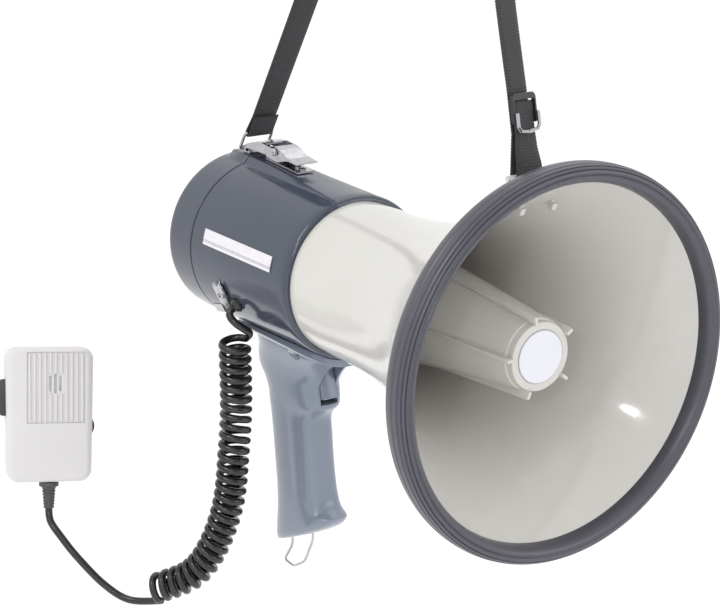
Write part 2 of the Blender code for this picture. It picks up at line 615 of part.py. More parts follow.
def make_strap():
    path = smooth_route([at(*p) for p in STRAP], 0.0120)
    widths = []
    for p in path:
        turn = 0.0
        if p.x > at(-0.1190, 0, 0).x:
            turn = TWIST * max(0.0, min(1.0, (0.340 - p.z + AXIS_Z) / 0.060))
        widths.append(Vector((math.sin(turn), math.cos(turn), 0.0)))
    # fold round the rear loop's top bar
    up = Vector((math.sin(LOOP_LEAN), 0, math.cos(LOOP_LEAN)))
    back = Vector((-up.z, 0, up.x))
    bar = at(LOOP_X, 0, LOOP_Z) + up * LOOP_TALL
    r = 0.0011 + 0.0004 + WEB_T / 2
    head = [bar - back * r + up * s for s in (0.0160, 0.0080, 0.0010)]
    for k in range(1, 8):
        a = math.pi * k / 8
        head.append(bar - back * (r * math.cos(a)) - up * (r * math.sin(a)))
    head.append(bar + back * r + up * 0.0010)
    start = bar + back * r + up * 0.0040
    path = [p for p in path if (p - start).dot(up) > 0.004 or p.x > at(-0.3, 0, 0).x]
    widths = widths[-len(path):]
    # fold round the front bracket's bar and back up to the slider
    pivot = at(ANCHOR_X, 0, ANCHOR_Z)
    q = 0.0017 + 0.0005 + WEB_T / 2
    across, off = front_axes(0.0)
    low = [(-WEB_T / 2, 0.0480), (-WEB_T / 2, 0.0360), (-WEB_T / 2, 0.0240), (-0.0016, 0.0120)]
    end = [(q, 0.0060), (0.0005 + WEB_T, 0.0150)]
    end += [(0.0007 + WEB_T, d) for d in (0.0240, 0.0330, 0.0412)]
    fold = []
    for k in range(9):
        a = math.pi * k / 8
        fold.append(pivot - off * (q * math.cos(a)) - FRONT_DIR * (q * math.sin(a)))
    line = [p for p in path if (p - pivot).dot(FRONT_DIR) > 0.056 or p.x < at(-0.12, 0, 0).x]
    widths = widths[:len(line)]
    full = head + line + [front_frame(n, d) for n, d in low] + fold
    full += [front_frame(n, d) for n, d in end]
    side = Vector((0, 1, 0))
    ups = [side] * len(head) + widths + [front_axes(d)[0] for n, d in low] + [side] * len(fold)
    ups += [front_axes(d)[0] for n, d in end]
    ribbon("strap_webbing", full, ups, WEB_W, WEB_T, WEB)


def make_slider():
    across, off = front_axes(0.0370)
    turn = Matrix((across, FRONT_DIR, off)).transposed().to_euler()
    plate = outline("strap_slider", rounded_flat(0.0116, 0.0086, 0.0032), 0.0020, BLACK,
                    front_frame(0.0027, 0.0370), turn, 0.0005)
    win = outline("slider_window", rounded_flat(0.0100, 0.0100, 0.0010), 0.010, None,
                  front_frame(0.0027, 0.0320), turn)
    cut(plate, win)
    # chromed bail across the strap's face, pointed in the middle
    corners = [(0.0350, -0.0102), (0.0275, -0.0102), (0.0252, -0.0084), (0.0243, 0.0),
               (0.0252, 0.0084), (0.0275, 0.0102), (0.0350, 0.0102)]
    wire("slider_bail", [front_frame(0.0051, d, y) for d, y in corners], 0.0011, CHROME, res=2)


def rounded_flat(w, h, r, n=4):
    """A rectangle of half sizes w and h with rounded corners."""
    out = []
    for cx, cy, a0 in ((w - r, h - r, 0), (-w + r, h - r, 1), (-w + r, -h + r, 2),
                       (w - r, -h + r, 3)):
        for k in range(n + 1):
            a = math.pi / 2 * (a0 + k / n)
            out.append((cx + r * math.cos(a), cy + r * math.sin(a)))
    return out


# ---------------------------------------------------------------- clip, gland, label
CLIP_X = -0.2850
CLIP_ANGLE = math.radians(112.0)


def on_side(x, angle, r):
    """A point off the casing's axis on the -Y side, and the turn that faces it outwards."""
    p = at(x, -r * math.sin(angle), r * math.cos(angle))
    # local Z outwards, local X along the axis, local Y up around the casing
    return p, (angle, 0, 0)


def make_side_fittings():
    # three-pronged hanger clip for the microphone
    p, rot = on_side(CLIP_X, CLIP_ANGLE, 0.0582)
    rot = Euler(rot)
    rot.rotate_axis("Z", math.radians(14.0))
    turn = rot.to_matrix()
    plate = [(-0.0068, -0.0100), (-0.0068, 0.0048), (-0.0044, 0.0085), (-0.0030, 0.0060),
             (-0.0012, 0.0062), (0.0, 0.0104), (0.0012, 0.0062), (0.0030, 0.0060),
             (0.0044, 0.0085), (0.0068, 0.0048), (0.0068, -0.0100)]
    clip = outline("microphone_clip", plate, 0.0011, CHROME, p, rot)
    # the plate's foot is folded outwards and up again into a ledge
    join(clip, box("clip_lip", (0.0136, 0.0011, 0.0058), None,
                   p + turn @ Vector((0, -0.0098, 0.0026)), rot))
    join(clip, box("clip_ledge", (0.0136, 0.0060, 0.0011), None,
                   p + turn @ Vector((0, -0.0073, 0.0051)), rot))
    for k, (x, y) in enumerate(((-0.0032, -0.0010), (0.0032, -0.0010))):
        q = p + turn @ Vector((x, y, 0.0008))
        join(clip, cylinder(f"clip_rivet_{k + 1}", 0.0016, 0.0016, None, q, rot, 14))

    # cord gland: a stepped rubber sleeve in its hole
    q = cord_hole_place(0.0)
    turned("cord_gland", [(0.0, 0.0600), (0.0032, 0.0600), (0.0040, 0.0590), (0.0050, 0.0577),
                          (0.0050, 0.0567), (0.0040, 0.0567), (0.0040, 0.0524), (0.0, 0.0524)],
           BLACK, steps=20, closed=False, loc=q, rot=cord_hole_turn())

    # label strip, bent to the casing
    n = 7
    rings = []
    for k in range(n):
        x = -0.3030 + 0.0820 * k / (n - 1)
        ring = []
        for r in (case_r(x) + 0.0003, case_r(x) + 0.0008):
            angs = [math.radians(70.2 + 10.6 * i / 4) for i in range(5)]
            if r > case_r(x) + 0.0005:
                angs = angs[::-1]
            ring += [at(x, -r * math.sin(a), r * math.cos(a)) for a in angs]
        rings.append(ring)
    loft("name_label", rings, SILVER)


# ---------------------------------------------------------------- grip
def grip_ring(cx, z, a, b, n=22, power=2.4, tilt=0.0):
    c = at(cx, 0, z)
    return [c + Vector((x, y, x * tilt)) for x, y in oval(a, b, n, power)]


def make_grip():
    # (centre x, z, half depth, half width, rise towards the front)
    body = [(-0.2655, -0.2020, 0.0245, 0.0125, 0.48), (-0.2625, -0.1985, 0.0300, 0.0158, 0.50),
            (-0.2608, -0.1940, 0.0330, 0.0170, 0.50), (-0.2612, -0.1890, 0.0322, 0.0171, 0.42),
            (-0.2640, -0.1785, 0.0272, 0.0167, 0.22), (-0.2662, -0.1640, 0.0256, 0.0163, 0.08),
            (-0.2690, -0.1450, 0.0256, 0.0160, 0.0),
            (-0.2712, -0.1250, 0.0258, 0.0160, 0.0), (-0.2728, -0.1120, 0.0262, 0.0162, 0.0),
            (-0.2716, -0.1050, 0.0290, 0.0166, 0.0), (-0.2690, -0.0985, 0.0330, 0.0170, 0.0),
            (-0.2712, -0.0900, 0.0348, 0.0178, 0.0), (-0.2745, -0.0820, 0.0372, 0.0190, 0.0),
            (-0.2705, -0.0720, 0.0400, 0.0215, 0.0), (-0.2640, -0.0640, 0.0430, 0.0245, 0.0),
            (-0.2580, -0.0560, 0.0490, 0.0275, 0.0), (-0.2580, -0.0480, 0.0490, 0.0290, 0.0)]
    grip = loft("grip", [grip_ring(x, z, a, b, tilt=t) for x, z, a, b, t in body], GRIP)
    # saddle that wraps the casing's underside
    rings = []
    for x, half in ((-0.3080, 27.0), (-0.3030, 33.0), (-0.2900, 37.5), (-0.2300, 38.5),
                    (-0.2150, 35.0), (-0.2060, 24.0)):
        ring = []
        for i in range(15):
            a = math.radians(180 + half * (i / 7 - 1))
            ring.append(at(x, 0.0604 * math.sin(a), 0.0604 * math.cos(a)))
        ring += [at(x, 0.030 * math.sin(math.radians(180 + 40)), -0.040),
                 at(x, 0.030 * math.sin(math.radians(180 - 40)), -0.040)]
        rings.append(ring)
    join(grip, loft("grip_saddle", rings))
    # cut away everything above the casing's skin
    core = turned("saddle_bore", [(0.0, -0.10), (0.0590, -0.10), (case_r(-0.19) + 0.0004, -0.190),
                                  (case_r(-0.34) + 0.0004, -0.340), (0.0, -0.34)], None,
                  steps=56, closed=False)
    cut(grip, core)
    # hollow for the switch and the wires, open at the top
    hollow = [(-0.2690, -0.1700, 0.0180, 0.0105), (-0.2715, -0.1250, 0.0185, 0.0110),
              (-0.2745, -0.0980, 0.0205, 0.0120), (-0.2745, -0.0760, 0.0235, 0.0140),
              (-0.2720, -0.0400, 0.0260, 0.0150)]
    cut(grip, loft("grip_hollow", [grip_ring(x, z, a, b, 16) for x, z, a, b in hollow]))
    # trigger slot
    cut(grip, box("trigger_slot", (0.040, 0.0134, 0.0325), None, at(-0.2380, 0, -0.0800)))
    for side in (-1, 1):
        head = cylinder(f"screw_recess_{side}", 0.0052, 0.0100, None,
                        screw_place(side, 0.0644), screw_turn(side), 20)
        cut(grip, head)
        cut(grip, cylinder(f"screw_bore_{side}", 0.0019, 0.02, None,
                           screw_place(side, 0.0580), screw_turn(side), 12))
        cylinder(f"grip_screw_{'left' if side > 0 else 'right'}", 0.0040, 0.0020, CHROME,
                 screw_place(side, 0.0608), screw_turn(side), 20)
    # feet of the lanyard loop sit in two blind holes
    for x, z in LOOP_FEET:
        cut(grip, cylinder(f"lanyard_hole_{int(-x * 1000)}", 0.0016, 0.0140, None,
                           at(x, 0, z), (0, 0, 0), 12))
    cut(grip, cylinder("trigger_pin_bore", 0.0016, 0.0500, None,
                       at(TRIGGER_X, 0, TRIGGER_Z), ALONG_Y, 14))
    cylinder("trigger_pin", 0.0013, 0.0290, STEEL, at(TRIGGER_X, 0, TRIGGER_Z), ALONG_Y, 14)

    o = at(TRIGGER_X, 0, TRIGGER_Z)
    trig = outline("trigger", [(-0.0045, 0.0030), (0.0060, 0.0030), (0.0100, 0.0000),
                   (0.0120, -0.0080), (0.0150, -0.0150), (0.0185, -0.0235), (0.0120, -0.0255),
                   (0.0060, -0.0240), (-0.0020, -0.0160), (-0.0048, -0.0040)],
                   0.0124, GRIP, o, ALONG_Y, 0.0012)
    cut(trig, cylinder("trigger_bore", 0.0016, 0.05, None, o, ALONG_Y, 14))
    box("trigger_switch", (0.0090, 0.0100, 0.0170), BLACK, at(-0.2720, 0, -0.0860),
        bevel=0.0008, segments=1)
    coil = []
    for k in range(33):
        a = math.tau * k / 8
        coil.append(at(-0.2668 + 0.0080 * k / 32, 0.0020 * math.cos(a),
                       -0.0860 + 0.0020 * math.sin(a)))
    wire("trigger_spring", coil, 0.0003, STEEL, res=0)

    f0, f1 = (Vector(at(x, 0, z)) for x, z in LOOP_FEET)
    path = rounded_path([f0, f0 + Vector((0, 0, -0.0100)), at(-0.2975, 0, -0.2345),
                         at(-0.2850, 0, -0.2352), at(-0.2700, 0, -0.2255),
                         f1 + Vector((0, 0, -0.0100)), f1], 0.0040, 3)
    wire("lanyard_loop", path, 0.0010, CHROME, res=2)


LOOP_FEET = ((-0.2860, -0.2080), (-0.2590, -0.1950))
TRIGGER_X, TRIGGER_Z = -0.2520, -0.0680


# ---------------------------------------------------------------- microphone and cord
MIC = at(-0.3656, -0.1459, -0.1137)    # middle of its face
MIC_RIGHT = Vector((0.350, 0.934, -0.074)).normalized()
MIC_UP = Vector((-0.249, 0.168, 0.954)).normalized()
MIC_BACK = MIC_UP.cross(MIC_RIGHT).normalized()
MIC_TURN = Matrix((MIC_RIGHT, MIC_BACK, MIC_RIGHT.cross(MIC_BACK))).transposed().to_euler()


def mic_point(x, y, z):
    return MIC + MIC_TURN.to_matrix() @ Vector((x, y, z))


def make_microphone():
    rot = MIC_TURN
    flat = (MIC_TURN.to_matrix() @ Euler((math.pi / 2, 0, 0)).to_matrix()).to_euler()
    w, h = 0.0302, 0.0467
    shape = rounded_flat(w, h, 0.0085, 5)
    shape = [(x * (1.0 - 0.05 * max(0.0, -y / h)), y) for x, y in shape]
    front = outline("mic_front_shell", shape, 0.0170, MICWHITE, mic_point(0, 0.0085, 0), flat,
                    0.0025)
    back = outline("mic_back_shell", shape, 0.0140, MICWHITE, mic_point(0, 0.0243, 0), flat,
                   0.0025)
    hollow = rounded_flat(w - 0.0028, h - 0.0028, 0.0060, 3)
    cut(front, outline("mic_front_hollow", hollow, 0.0160, None, mic_point(0, 0.0112, 0), flat))
    cut(back, outline("mic_back_hollow", hollow, 0.0140, None, mic_point(0, 0.0215, 0), flat))
    # ribbed panel with three sound slots
    cut(front, outline("grille_recess", rounded_flat(0.0198, 0.0246, 0.0010), 0.0016, None,
                       mic_point(0.0042, 0.0, 0.0188), flat))
    for k in range(3):
        cut(front, box(f"sound_slot_{k}", (0.0018, 0.0200, 0.0115), None,
                       mic_point(0.0003 + 0.0033 * k, 0.0, 0.0216), rot))
    # press-to-talk bar in the left edge, volume wheel in the right
    cut(front, box("ptt_window", (0.0200, 0.0096, 0.0264), None,
                   mic_point(-0.0302, 0.0100, 0.0120), rot))
    box("ptt_button", (0.0080, 0.0088, 0.0256), DARK, mic_point(-0.0300, 0.0100, 0.0120), rot,
        bevel=0.0010, segments=2)
    cut(front, box("wheel_window", (0.0100, 0.0048, 0.0160), None,
                   mic_point(0.0300, 0.0100, -0.0085), rot))
    cylinder("volume_wheel", 0.0085, 0.0036, DARK, mic_point(0.0228, 0.0100, -0.0085), flat, 24)
    cylinder("mic_capsule", 0.0110, 0.0070, ALU, mic_point(0, 0.0072, 0.0200), flat, 28)
    box("mic_board", (0.0420, 0.0016, 0.0560), BOARD, mic_point(0, 0.0202, 0.0000), rot)
    stud = cylinder("mic_hanger_stud", 0.0040, 0.0050, CHROME,
                    mic_point(0, 0.0340, 0.0240), flat, 20)
    join(stud, cylinder("stud_head", 0.0070, 0.0020, None, mic_point(0, 0.0374, 0.0240), flat, 20))
    # flanged, tapering cord boot below
    turned("mic_boot", [(0.0, 0.0), (0.0068, 0.0), (0.0068, -0.0030), (0.0046, -0.0042),
                        (0.0038, -0.0180), (0.0, -0.0180)], BLACK, steps=20, closed=False,
           loc=mic_point(0, 0.0100, -h - 0.0003), rot=rot)


# route of the curly cord's middle line, gland first, and of the plain leads
LEAD_OUT = [(-0.2700, -0.0538, -0.0281), (-0.2699, -0.0556, -0.0290), (-0.2686, -0.0572, -0.0322),
            (-0.2650, -0.0550, -0.0366), (-0.2615, -0.0502, -0.0408), (-0.2612, -0.0466, -0.0440),
            (-0.2628, -0.0460, -0.0462)]
CURLS = [(-0.2700, -0.0530, -0.0495), (-0.2700, -0.0530, -0.0950), (-0.2660, -0.0580, -0.1270),
         (-0.2660, -0.0630, -0.1630), (-0.2700, -0.0730, -0.1940), (-0.2780, -0.0860, -0.2150),
         (-0.2950, -0.1060, -0.2280)]
LEAD_IN = [(-0.2985, -0.1110, -0.2330), (-0.3080, -0.1200, -0.2355), (-0.3220, -0.1320, -0.2260),
           (-0.3350, -0.1450, -0.2080), (-0.3440, -0.1535, -0.1890), (-0.3480, -0.1570, -0.1800)]


def make_cord():
    q = at(0, 0, 0)
    for name, route, r, step, res in (("cord_lead_out", LEAD_OUT, CORD_R, 0.0026, 2),
                                      ("cord_curls", CURLS, COIL_R, 0.0090, 2),
                                      ("cord_lead_in", LEAD_IN, CORD_R, 0.0065, 2)):
        wire(name, smooth_route([q + Vector(p) for p in route], step), r, CORD, res=res)


def main():
    clear_scene()
    make_horn()
    make_reflector()
    make_driver()
    make_casing()
    make_inside()
    make_latch()
    make_strap_loop()
    make_anchor()
    make_strap()
    make_slider()
    make_side_fittings()
    make_grip()
    make_microphone()
    make_cord()


main()
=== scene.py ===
# %% [markdown]
# # A hand megaphone, dressed for a studio picture
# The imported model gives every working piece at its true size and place. This lesson
# gives those pieces their real skins: glossy moulded ABS, ribbed rubber, chromed
# steel, woven webbing and a curly cord, each made from what it is on the real object.

# %% Load the frame and remember its box
import json
import math
import bpy
import bmesh
from mathutils import Vector, Matrix


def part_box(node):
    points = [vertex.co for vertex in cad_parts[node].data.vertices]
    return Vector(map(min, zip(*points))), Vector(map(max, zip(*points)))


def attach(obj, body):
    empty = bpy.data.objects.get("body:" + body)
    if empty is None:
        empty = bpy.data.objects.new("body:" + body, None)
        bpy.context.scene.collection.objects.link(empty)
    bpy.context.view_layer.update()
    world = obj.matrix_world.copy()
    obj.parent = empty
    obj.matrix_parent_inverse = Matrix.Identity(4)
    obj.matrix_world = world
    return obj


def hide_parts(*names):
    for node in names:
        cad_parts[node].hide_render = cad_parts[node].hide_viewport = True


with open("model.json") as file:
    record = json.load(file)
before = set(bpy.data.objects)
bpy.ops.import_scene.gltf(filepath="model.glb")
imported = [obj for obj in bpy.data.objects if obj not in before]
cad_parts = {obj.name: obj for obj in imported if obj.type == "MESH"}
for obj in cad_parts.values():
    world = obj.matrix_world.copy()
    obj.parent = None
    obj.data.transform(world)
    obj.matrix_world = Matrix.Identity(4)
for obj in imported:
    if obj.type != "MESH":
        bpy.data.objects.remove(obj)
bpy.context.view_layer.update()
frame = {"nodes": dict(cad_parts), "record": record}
NODES = frame["nodes"]
MAIN = "horn_and_casing"

# %% [markdown]
# Everything round on this object shares the horn's axis, so places are easiest to
# give from the middle of the horn's mouth: x back along the axis, y to the left,
# z up from the axis. The rubber rim sits square on the mouth, so the middle of its
# box is that point.

# %% Places are given from the mouth's centre
rim_low, rim_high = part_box("rim_bumper")
MOUTH = (Vector(rim_low) + Vector(rim_high)) / 2
MM = 0.001


def at(x, y, z):
    """A point given in metres from the centre of the horn's mouth."""
    return MOUTH + Vector((x, y, z))


print("mouth centre:", [round(c, 4) for c in MOUTH])

# %% [markdown]
# A camera about 1.2 m away with a 90 mm lens sees the object a little from above
# and from its right front. The three vectors are the camera's own right, up and
# back directions.

# %% Camera
camera_data = bpy.data.cameras.new("studio_camera")
camera_data.lens = 90.0
camera_data.sensor_width = 36.0
camera_data.clip_end = 100.0
camera = bpy.data.objects.new("studio_camera", camera_data)
bpy.context.scene.collection.objects.link(camera)
CAMERA_RIGHT = Vector((0.5583, 0.8297, -0.0008))
CAMERA_UP = Vector((-0.2486, 0.1682, 0.9539))
CAMERA_BACK = Vector((0.7915, -0.5323, 0.3001))
camera.matrix_world = Matrix((CAMERA_RIGHT, CAMERA_UP, CAMERA_BACK)).transposed().to_4x4()
camera.location = (0.9843, -0.6160, 0.4659)
bpy.context.scene.camera = camera

# %% [markdown]
# ## Paint box
# Colours are written as the sRGB hex values that a colour picker shows, and one
# function turns them to the linear values that light adds up in. A second small
# function adds a shader node with its settings and links, which keeps the recipes
# short enough to read.

# %% Colour and node helpers
def linear(hex_code):
    """An sRGB hex colour such as "#6A7080" as a linear RGBA tuple."""
    out = []
    for i in (1, 3, 5):
        c = int(hex_code[i:i + 2], 16) / 255
        out.append(c / 12.92 if c <= 0.04045 else ((c + 0.055) / 1.055) ** 2.4)
    return (*out, 1.0)


def add(mat, kind, settings=None, links=None):
    """Adds a node. settings are its options or socket values, links go into sockets."""
    node = mat.node_tree.nodes.new(kind)
    for key, value in (settings or {}).items():
        if isinstance(key, str) and key not in node.inputs:
            setattr(node, key, value)
    for key, value in (settings or {}).items():
        if not isinstance(key, str) or key in node.inputs:
            node.inputs[key].default_value = value
    for key, (source, socket) in (links or {}).items():
        mat.node_tree.links.new(source.outputs[socket], node.inputs[key])
    return node


def blank(name, rough=0.4, metal=0.0, ior=1.5, **sockets):
    """A new material and its shader, with the numbers that are even all over."""
    mat = bpy.data.materials.new(name)
    mat.use_nodes = True
    shader = mat.node_tree.nodes["Principled BSDF"]
    shader.inputs["Roughness"].default_value = rough
    shader.inputs["Metallic"].default_value = metal
    if metal < 0.5:
        shader.inputs["IOR"].default_value = ior
    for key, value in sockets.items():
        shader.inputs[key.replace("_", " ")].default_value = value
    return mat, shader


def per_mm(size):
    """The noise scale whose blotches are about this many millimetres across."""
    return 1.0 / (size * MM)


# %% [markdown]
# ABS from a polished mould is glossy but never a mirror. Its skin has a faint
# orange peel a few millimetres across, its colour drifts a little where the melt
# front cooled, and handling leaves soft dull patches. All three
# come from noise in the object's own coordinates, so they travel with the piece.

# %% Moulded plastic
def moulded(name, colour, shade, rough, peel=3.0, peel_depth=0.015, dull=0.10, grain=None,
            ior=1.53, **sockets):
    """Moulded plastic: colour drifts to shade, and roughness rises by dull in patches."""
    mat, shader = blank(name, rough, 0.0, ior, **sockets)
    place = add(mat, "ShaderNodeTexCoord")
    drift = add(mat, "ShaderNodeTexNoise", {"Scale": per_mm(38), "Detail": 3.0},
                {"Vector": (place, "Object")})
    tint = add(mat, "ShaderNodeMix", {"data_type": "RGBA", 6: linear(colour), 7: linear(shade)},
               {0: (drift, "Fac")})
    patches = add(mat, "ShaderNodeTexNoise", {"Scale": per_mm(16), "Detail": 5.0,
                                              "Roughness": 0.62}, {"Vector": (place, "Object")})
    handled = add(mat, "ShaderNodeMapRange", {"From Min": 0.42, "From Max": 0.78,
                                              "To Min": rough, "To Max": rough + dull},
                  {"Value": (patches, "Fac")})
    skin = add(mat, "ShaderNodeTexNoise", {"Scale": per_mm(peel), "Detail": 1.5},
               {"Vector": (place, "Object")})
    bump = add(mat, "ShaderNodeBump", {"Strength": 1.0, "Distance": peel_depth * MM},
               {"Height": (skin, "Fac")})
    if grain:
        spark = add(mat, "ShaderNodeTexNoise", {"Scale": per_mm(grain), "Detail": 2.0},
                    {"Vector": (place, "Object")})
        bump = add(mat, "ShaderNodeBump", {"Strength": 0.7, "Distance": 0.05 * MM},
                   {"Height": (spark, "Fac"), "Normal": (bump, "Normal")})
    links = mat.node_tree.links
    links.new(tint.outputs[2], shader.inputs["Base Color"])
    links.new(handled.outputs[0], shader.inputs["Roughness"])
    links.new(bump.outputs[0], shader.inputs["Normal"])
    return mat


HORN_ABS = moulded("moulded_abs_cream", "#C8C6C3", "#C2C0BA", 0.09, Subsurface_Weight=0.12,
                   Subsurface_Scale=0.004)
CASING_ABS = moulded("moulded_abs_slate_blue", "#3D4350", "#383E4B", 0.13)
GRIP_ABS = moulded("moulded_abs_light_slate", "#79818F", "#737B89", 0.15)
MIC_ABS = moulded("sparked_abs_white", "#D0CECE", "#C9C6C7", 0.34, peel_depth=0.008, grain=0.9,
                  Subsurface_Weight=0.10, Subsurface_Scale=0.003)
NYLON_BLACK = moulded("moulded_nylon_black", "#1B1B1D", "#242426", 0.34, grain=0.7)
NYLON_GREY = moulded("moulded_nylon_grey", "#303034", "#29292C", 0.40, grain=0.8)
FERRITE = moulded("sintered_ferrite", "#2C2C2F", "#232326", 0.55, grain=0.5)
CELL_WRAP = moulded("shrink_sleeve_cell", "#2B3345", "#1F2430", 0.28)
RESIN = moulded("resin_bonded_linen", "#8A5A2C", "#6E4420", 0.45, grain=0.6)

# %% [markdown]
# The rim is a soft PVC-rubber extrusion. It is duller than the ABS, slightly
# purple-grey, and holds dust in its grooves, so the pits are drawn paler than the
# ridges with the geometry's own pointiness.

# %% Rim rubber and other rubbers
def rubber(name, colour, dust, rough, pits=1.2, dusty=0.6):
    """Moulded rubber with a fine dry surface; dust gathers where it curves inwards."""
    mat, shader = blank(name, rough, 0.0, 1.52)
    place = add(mat, "ShaderNodeTexCoord")
    blotch = add(mat, "ShaderNodeTexNoise", {"Scale": per_mm(22), "Detail": 6.0,
                                             "Roughness": 0.65}, {"Vector": (place, "Object")})
    bent = add(mat, "ShaderNodeNewGeometry")
    hollow = add(mat, "ShaderNodeMapRange", {"From Min": 0.50, "From Max": 0.42,
                                             "To Min": 0.0, "To Max": dusty},
                 {"Value": (bent, "Pointiness")})
    amount = add(mat, "ShaderNodeMath", {"operation": "MULTIPLY_ADD", 1: 0.35},
                 {0: (blotch, "Fac"), 2: (hollow, 0)})
    tint = add(mat, "ShaderNodeMix", {"data_type": "RGBA", 6: linear(colour), 7: linear(dust)},
               {0: (amount, 0)})
    fine = add(mat, "ShaderNodeTexNoise", {"Scale": per_mm(pits), "Detail": 3.0},
               {"Vector": (place, "Object")})
    bump = add(mat, "ShaderNodeBump", {"Strength": 0.6, "Distance": 0.04 * MM},
               {"Height": (fine, "Fac")})
    gloss = add(mat, "ShaderNodeMapRange", {"To Min": rough - 0.06, "To Max": rough + 0.12},
                {"Value": (blotch, "Fac")})
    links = mat.node_tree.links
    links.new(tint.outputs[2], shader.inputs["Base Color"])
    links.new(gloss.outputs[0], shader.inputs["Roughness"])
    links.new(bump.outputs[0], shader.inputs["Normal"])
    return mat


RIM_RUBBER = rubber("rubber_rim_purple_grey", "#3B3B44", "#63636E", 0.28)
BLACK_RUBBER = rubber("rubber_black", "#1C1C1E", "#333335", 0.50)
BOOT_RUBBER = rubber("rubber_boot_grey", "#3E3E41", "#57575A", 0.42)

# %% [markdown]
# The cord's jacket is plasticised PVC: black, wet-looking and a little sticky, so
# it carries crisp highlights broken by faint smears.

# %% Cord jacket
CORD_PVC = moulded("pvc_cord_jacket", "#141415", "#1D1C1E", 0.16, peel=2.0, peel_depth=0.02,
                   dull=0.16, ior=1.54)

# %% [markdown]
# Plated steel: chrome for what shows, zinc for pins and screws inside. Chrome is
# bright and slightly blue, with faint polishing lines and small dull spots. The
# metals keep the shader's own IOR, since their colour already says how they reflect.

# %% Metals
def metal(name, colour, dark, rough, lines=0.35, line_depth=0.006):
    """Plated or drawn metal with fine polishing lines and dull patches."""
    mat, shader = blank(name, rough, 1.0)
    place = add(mat, "ShaderNodeTexCoord")
    stretch = add(mat, "ShaderNodeMapping", {"Scale": (1.0, 14.0, 14.0)},
                  {"Vector": (place, "Object")})
    drawn = add(mat, "ShaderNodeTexNoise", {"Scale": per_mm(lines * 14), "Detail": 3.0},
                {"Vector": (stretch, "Vector")})
    spots = add(mat, "ShaderNodeTexNoise", {"Scale": per_mm(5), "Detail": 5.0},
                {"Vector": (place, "Object")})
    tint = add(mat, "ShaderNodeMix", {"data_type": "RGBA", 6: linear(colour), 7: linear(dark)},
               {0: (spots, "Fac")})
    gloss = add(mat, "ShaderNodeMapRange", {"From Min": 0.35, "From Max": 0.75,
                                            "To Min": rough, "To Max": rough + 0.16},
                {"Value": (spots, "Fac")})
    bump = add(mat, "ShaderNodeBump", {"Strength": 0.5, "Distance": line_depth * MM},
               {"Height": (drawn, "Fac")})
    links = mat.node_tree.links
    links.new(tint.outputs[2], shader.inputs["Base Color"])
    links.new(gloss.outputs[0], shader.inputs["Roughness"])
    links.new(bump.outputs[0], shader.inputs["Normal"])
    return mat


CHROME = metal("chromed_steel", "#C4C3C7", "#9B9AA0", 0.14)
ZINC = metal("zinc_plated_steel", "#B9B8B4", "#9C9B98", 0.30)
ALUMINIUM = metal("mill_finish_aluminium", "#C9CACC", "#B2B3B6", 0.34)

# %% [markdown]
# Webbing is woven from filament polyester: hard ribs run across it where the thick
# weft lies, 1.7 mm apart. The ribs are real geometry below; here each rib gets the
# small slanted stitches of the warp, about 0.8 mm long, as bumps with painted shade
# in their low parts and painted highlight on their crests, and a soft sheen from
# loose filaments.

# %% Webbing
WEB_WEAVE, web_shader = blank("woven_polyester_webbing", 0.72, 0.0, 1.5, Sheen_Weight=0.12,
                              Sheen_Roughness=0.45)
web_shader.inputs["Sheen Tint"].default_value = linear("#8A8A90")
web_place = add(WEB_WEAVE, "ShaderNodeTexCoord")
web_threads = add(WEB_WEAVE, "ShaderNodeTexWave",
                  {"wave_type": "BANDS", "bands_direction": "X", "Scale": 0.31 / (0.8 * MM),
                   "Distortion": 2.0, "Detail": 1.0, "Detail Scale": 1.5},
                  {"Vector": (web_place, "UV")})
web_fuzz = add(WEB_WEAVE, "ShaderNodeTexNoise", {"Scale": per_mm(0.9), "Detail": 3.0},
               {"Vector": (web_place, "Object")})
web_height = add(WEB_WEAVE, "ShaderNodeMath", {"operation": "MULTIPLY_ADD", 1: 0.5},
                 {0: (web_fuzz, "Fac"), 2: (web_threads, "Fac")})
web_wear = add(WEB_WEAVE, "ShaderNodeTexNoise", {"Scale": per_mm(30), "Detail": 4.0},
               {"Vector": (web_place, "Object")})
# The colour follows the weave's height: the low parts between stitches are painted darker and the
# crests lighter, as painted shade and painted highlight, with some random tone from the loose
# filaments.
web_painted_weave_shade = add(WEB_WEAVE, "ShaderNodeMix", {"data_type": "RGBA", 6: linear("#161618"),
                                            7: linear("#38383B")}, {0: (web_height, 0)})
web_bump = add(WEB_WEAVE, "ShaderNodeBump", {"Strength": 0.8, "Distance": 0.12 * MM},
               {"Height": (web_height, 0)})
web_gloss = add(WEB_WEAVE, "ShaderNodeMapRange", {"To Min": 0.55, "To Max": 0.85},
                {"Value": (web_wear, "Fac")})
WEB_WEAVE.node_tree.links.new(web_painted_weave_shade.outputs[2], web_shader.inputs["Base Color"])
WEB_WEAVE.node_tree.links.new(web_bump.outputs[0], web_shader.inputs["Normal"])
WEB_WEAVE.node_tree.links.new(web_gloss.outputs[0], web_shader.inputs["Roughness"])

# %% [markdown]
# Two printed films: the round badge in the reflector is plain white vinyl, and the
# name label is silvered polyester. The label's print is reduced to its two thin
# rules along the lower edge. The rules are drawn by the angle round the casing's
# axis, which is how the label itself was laid on.

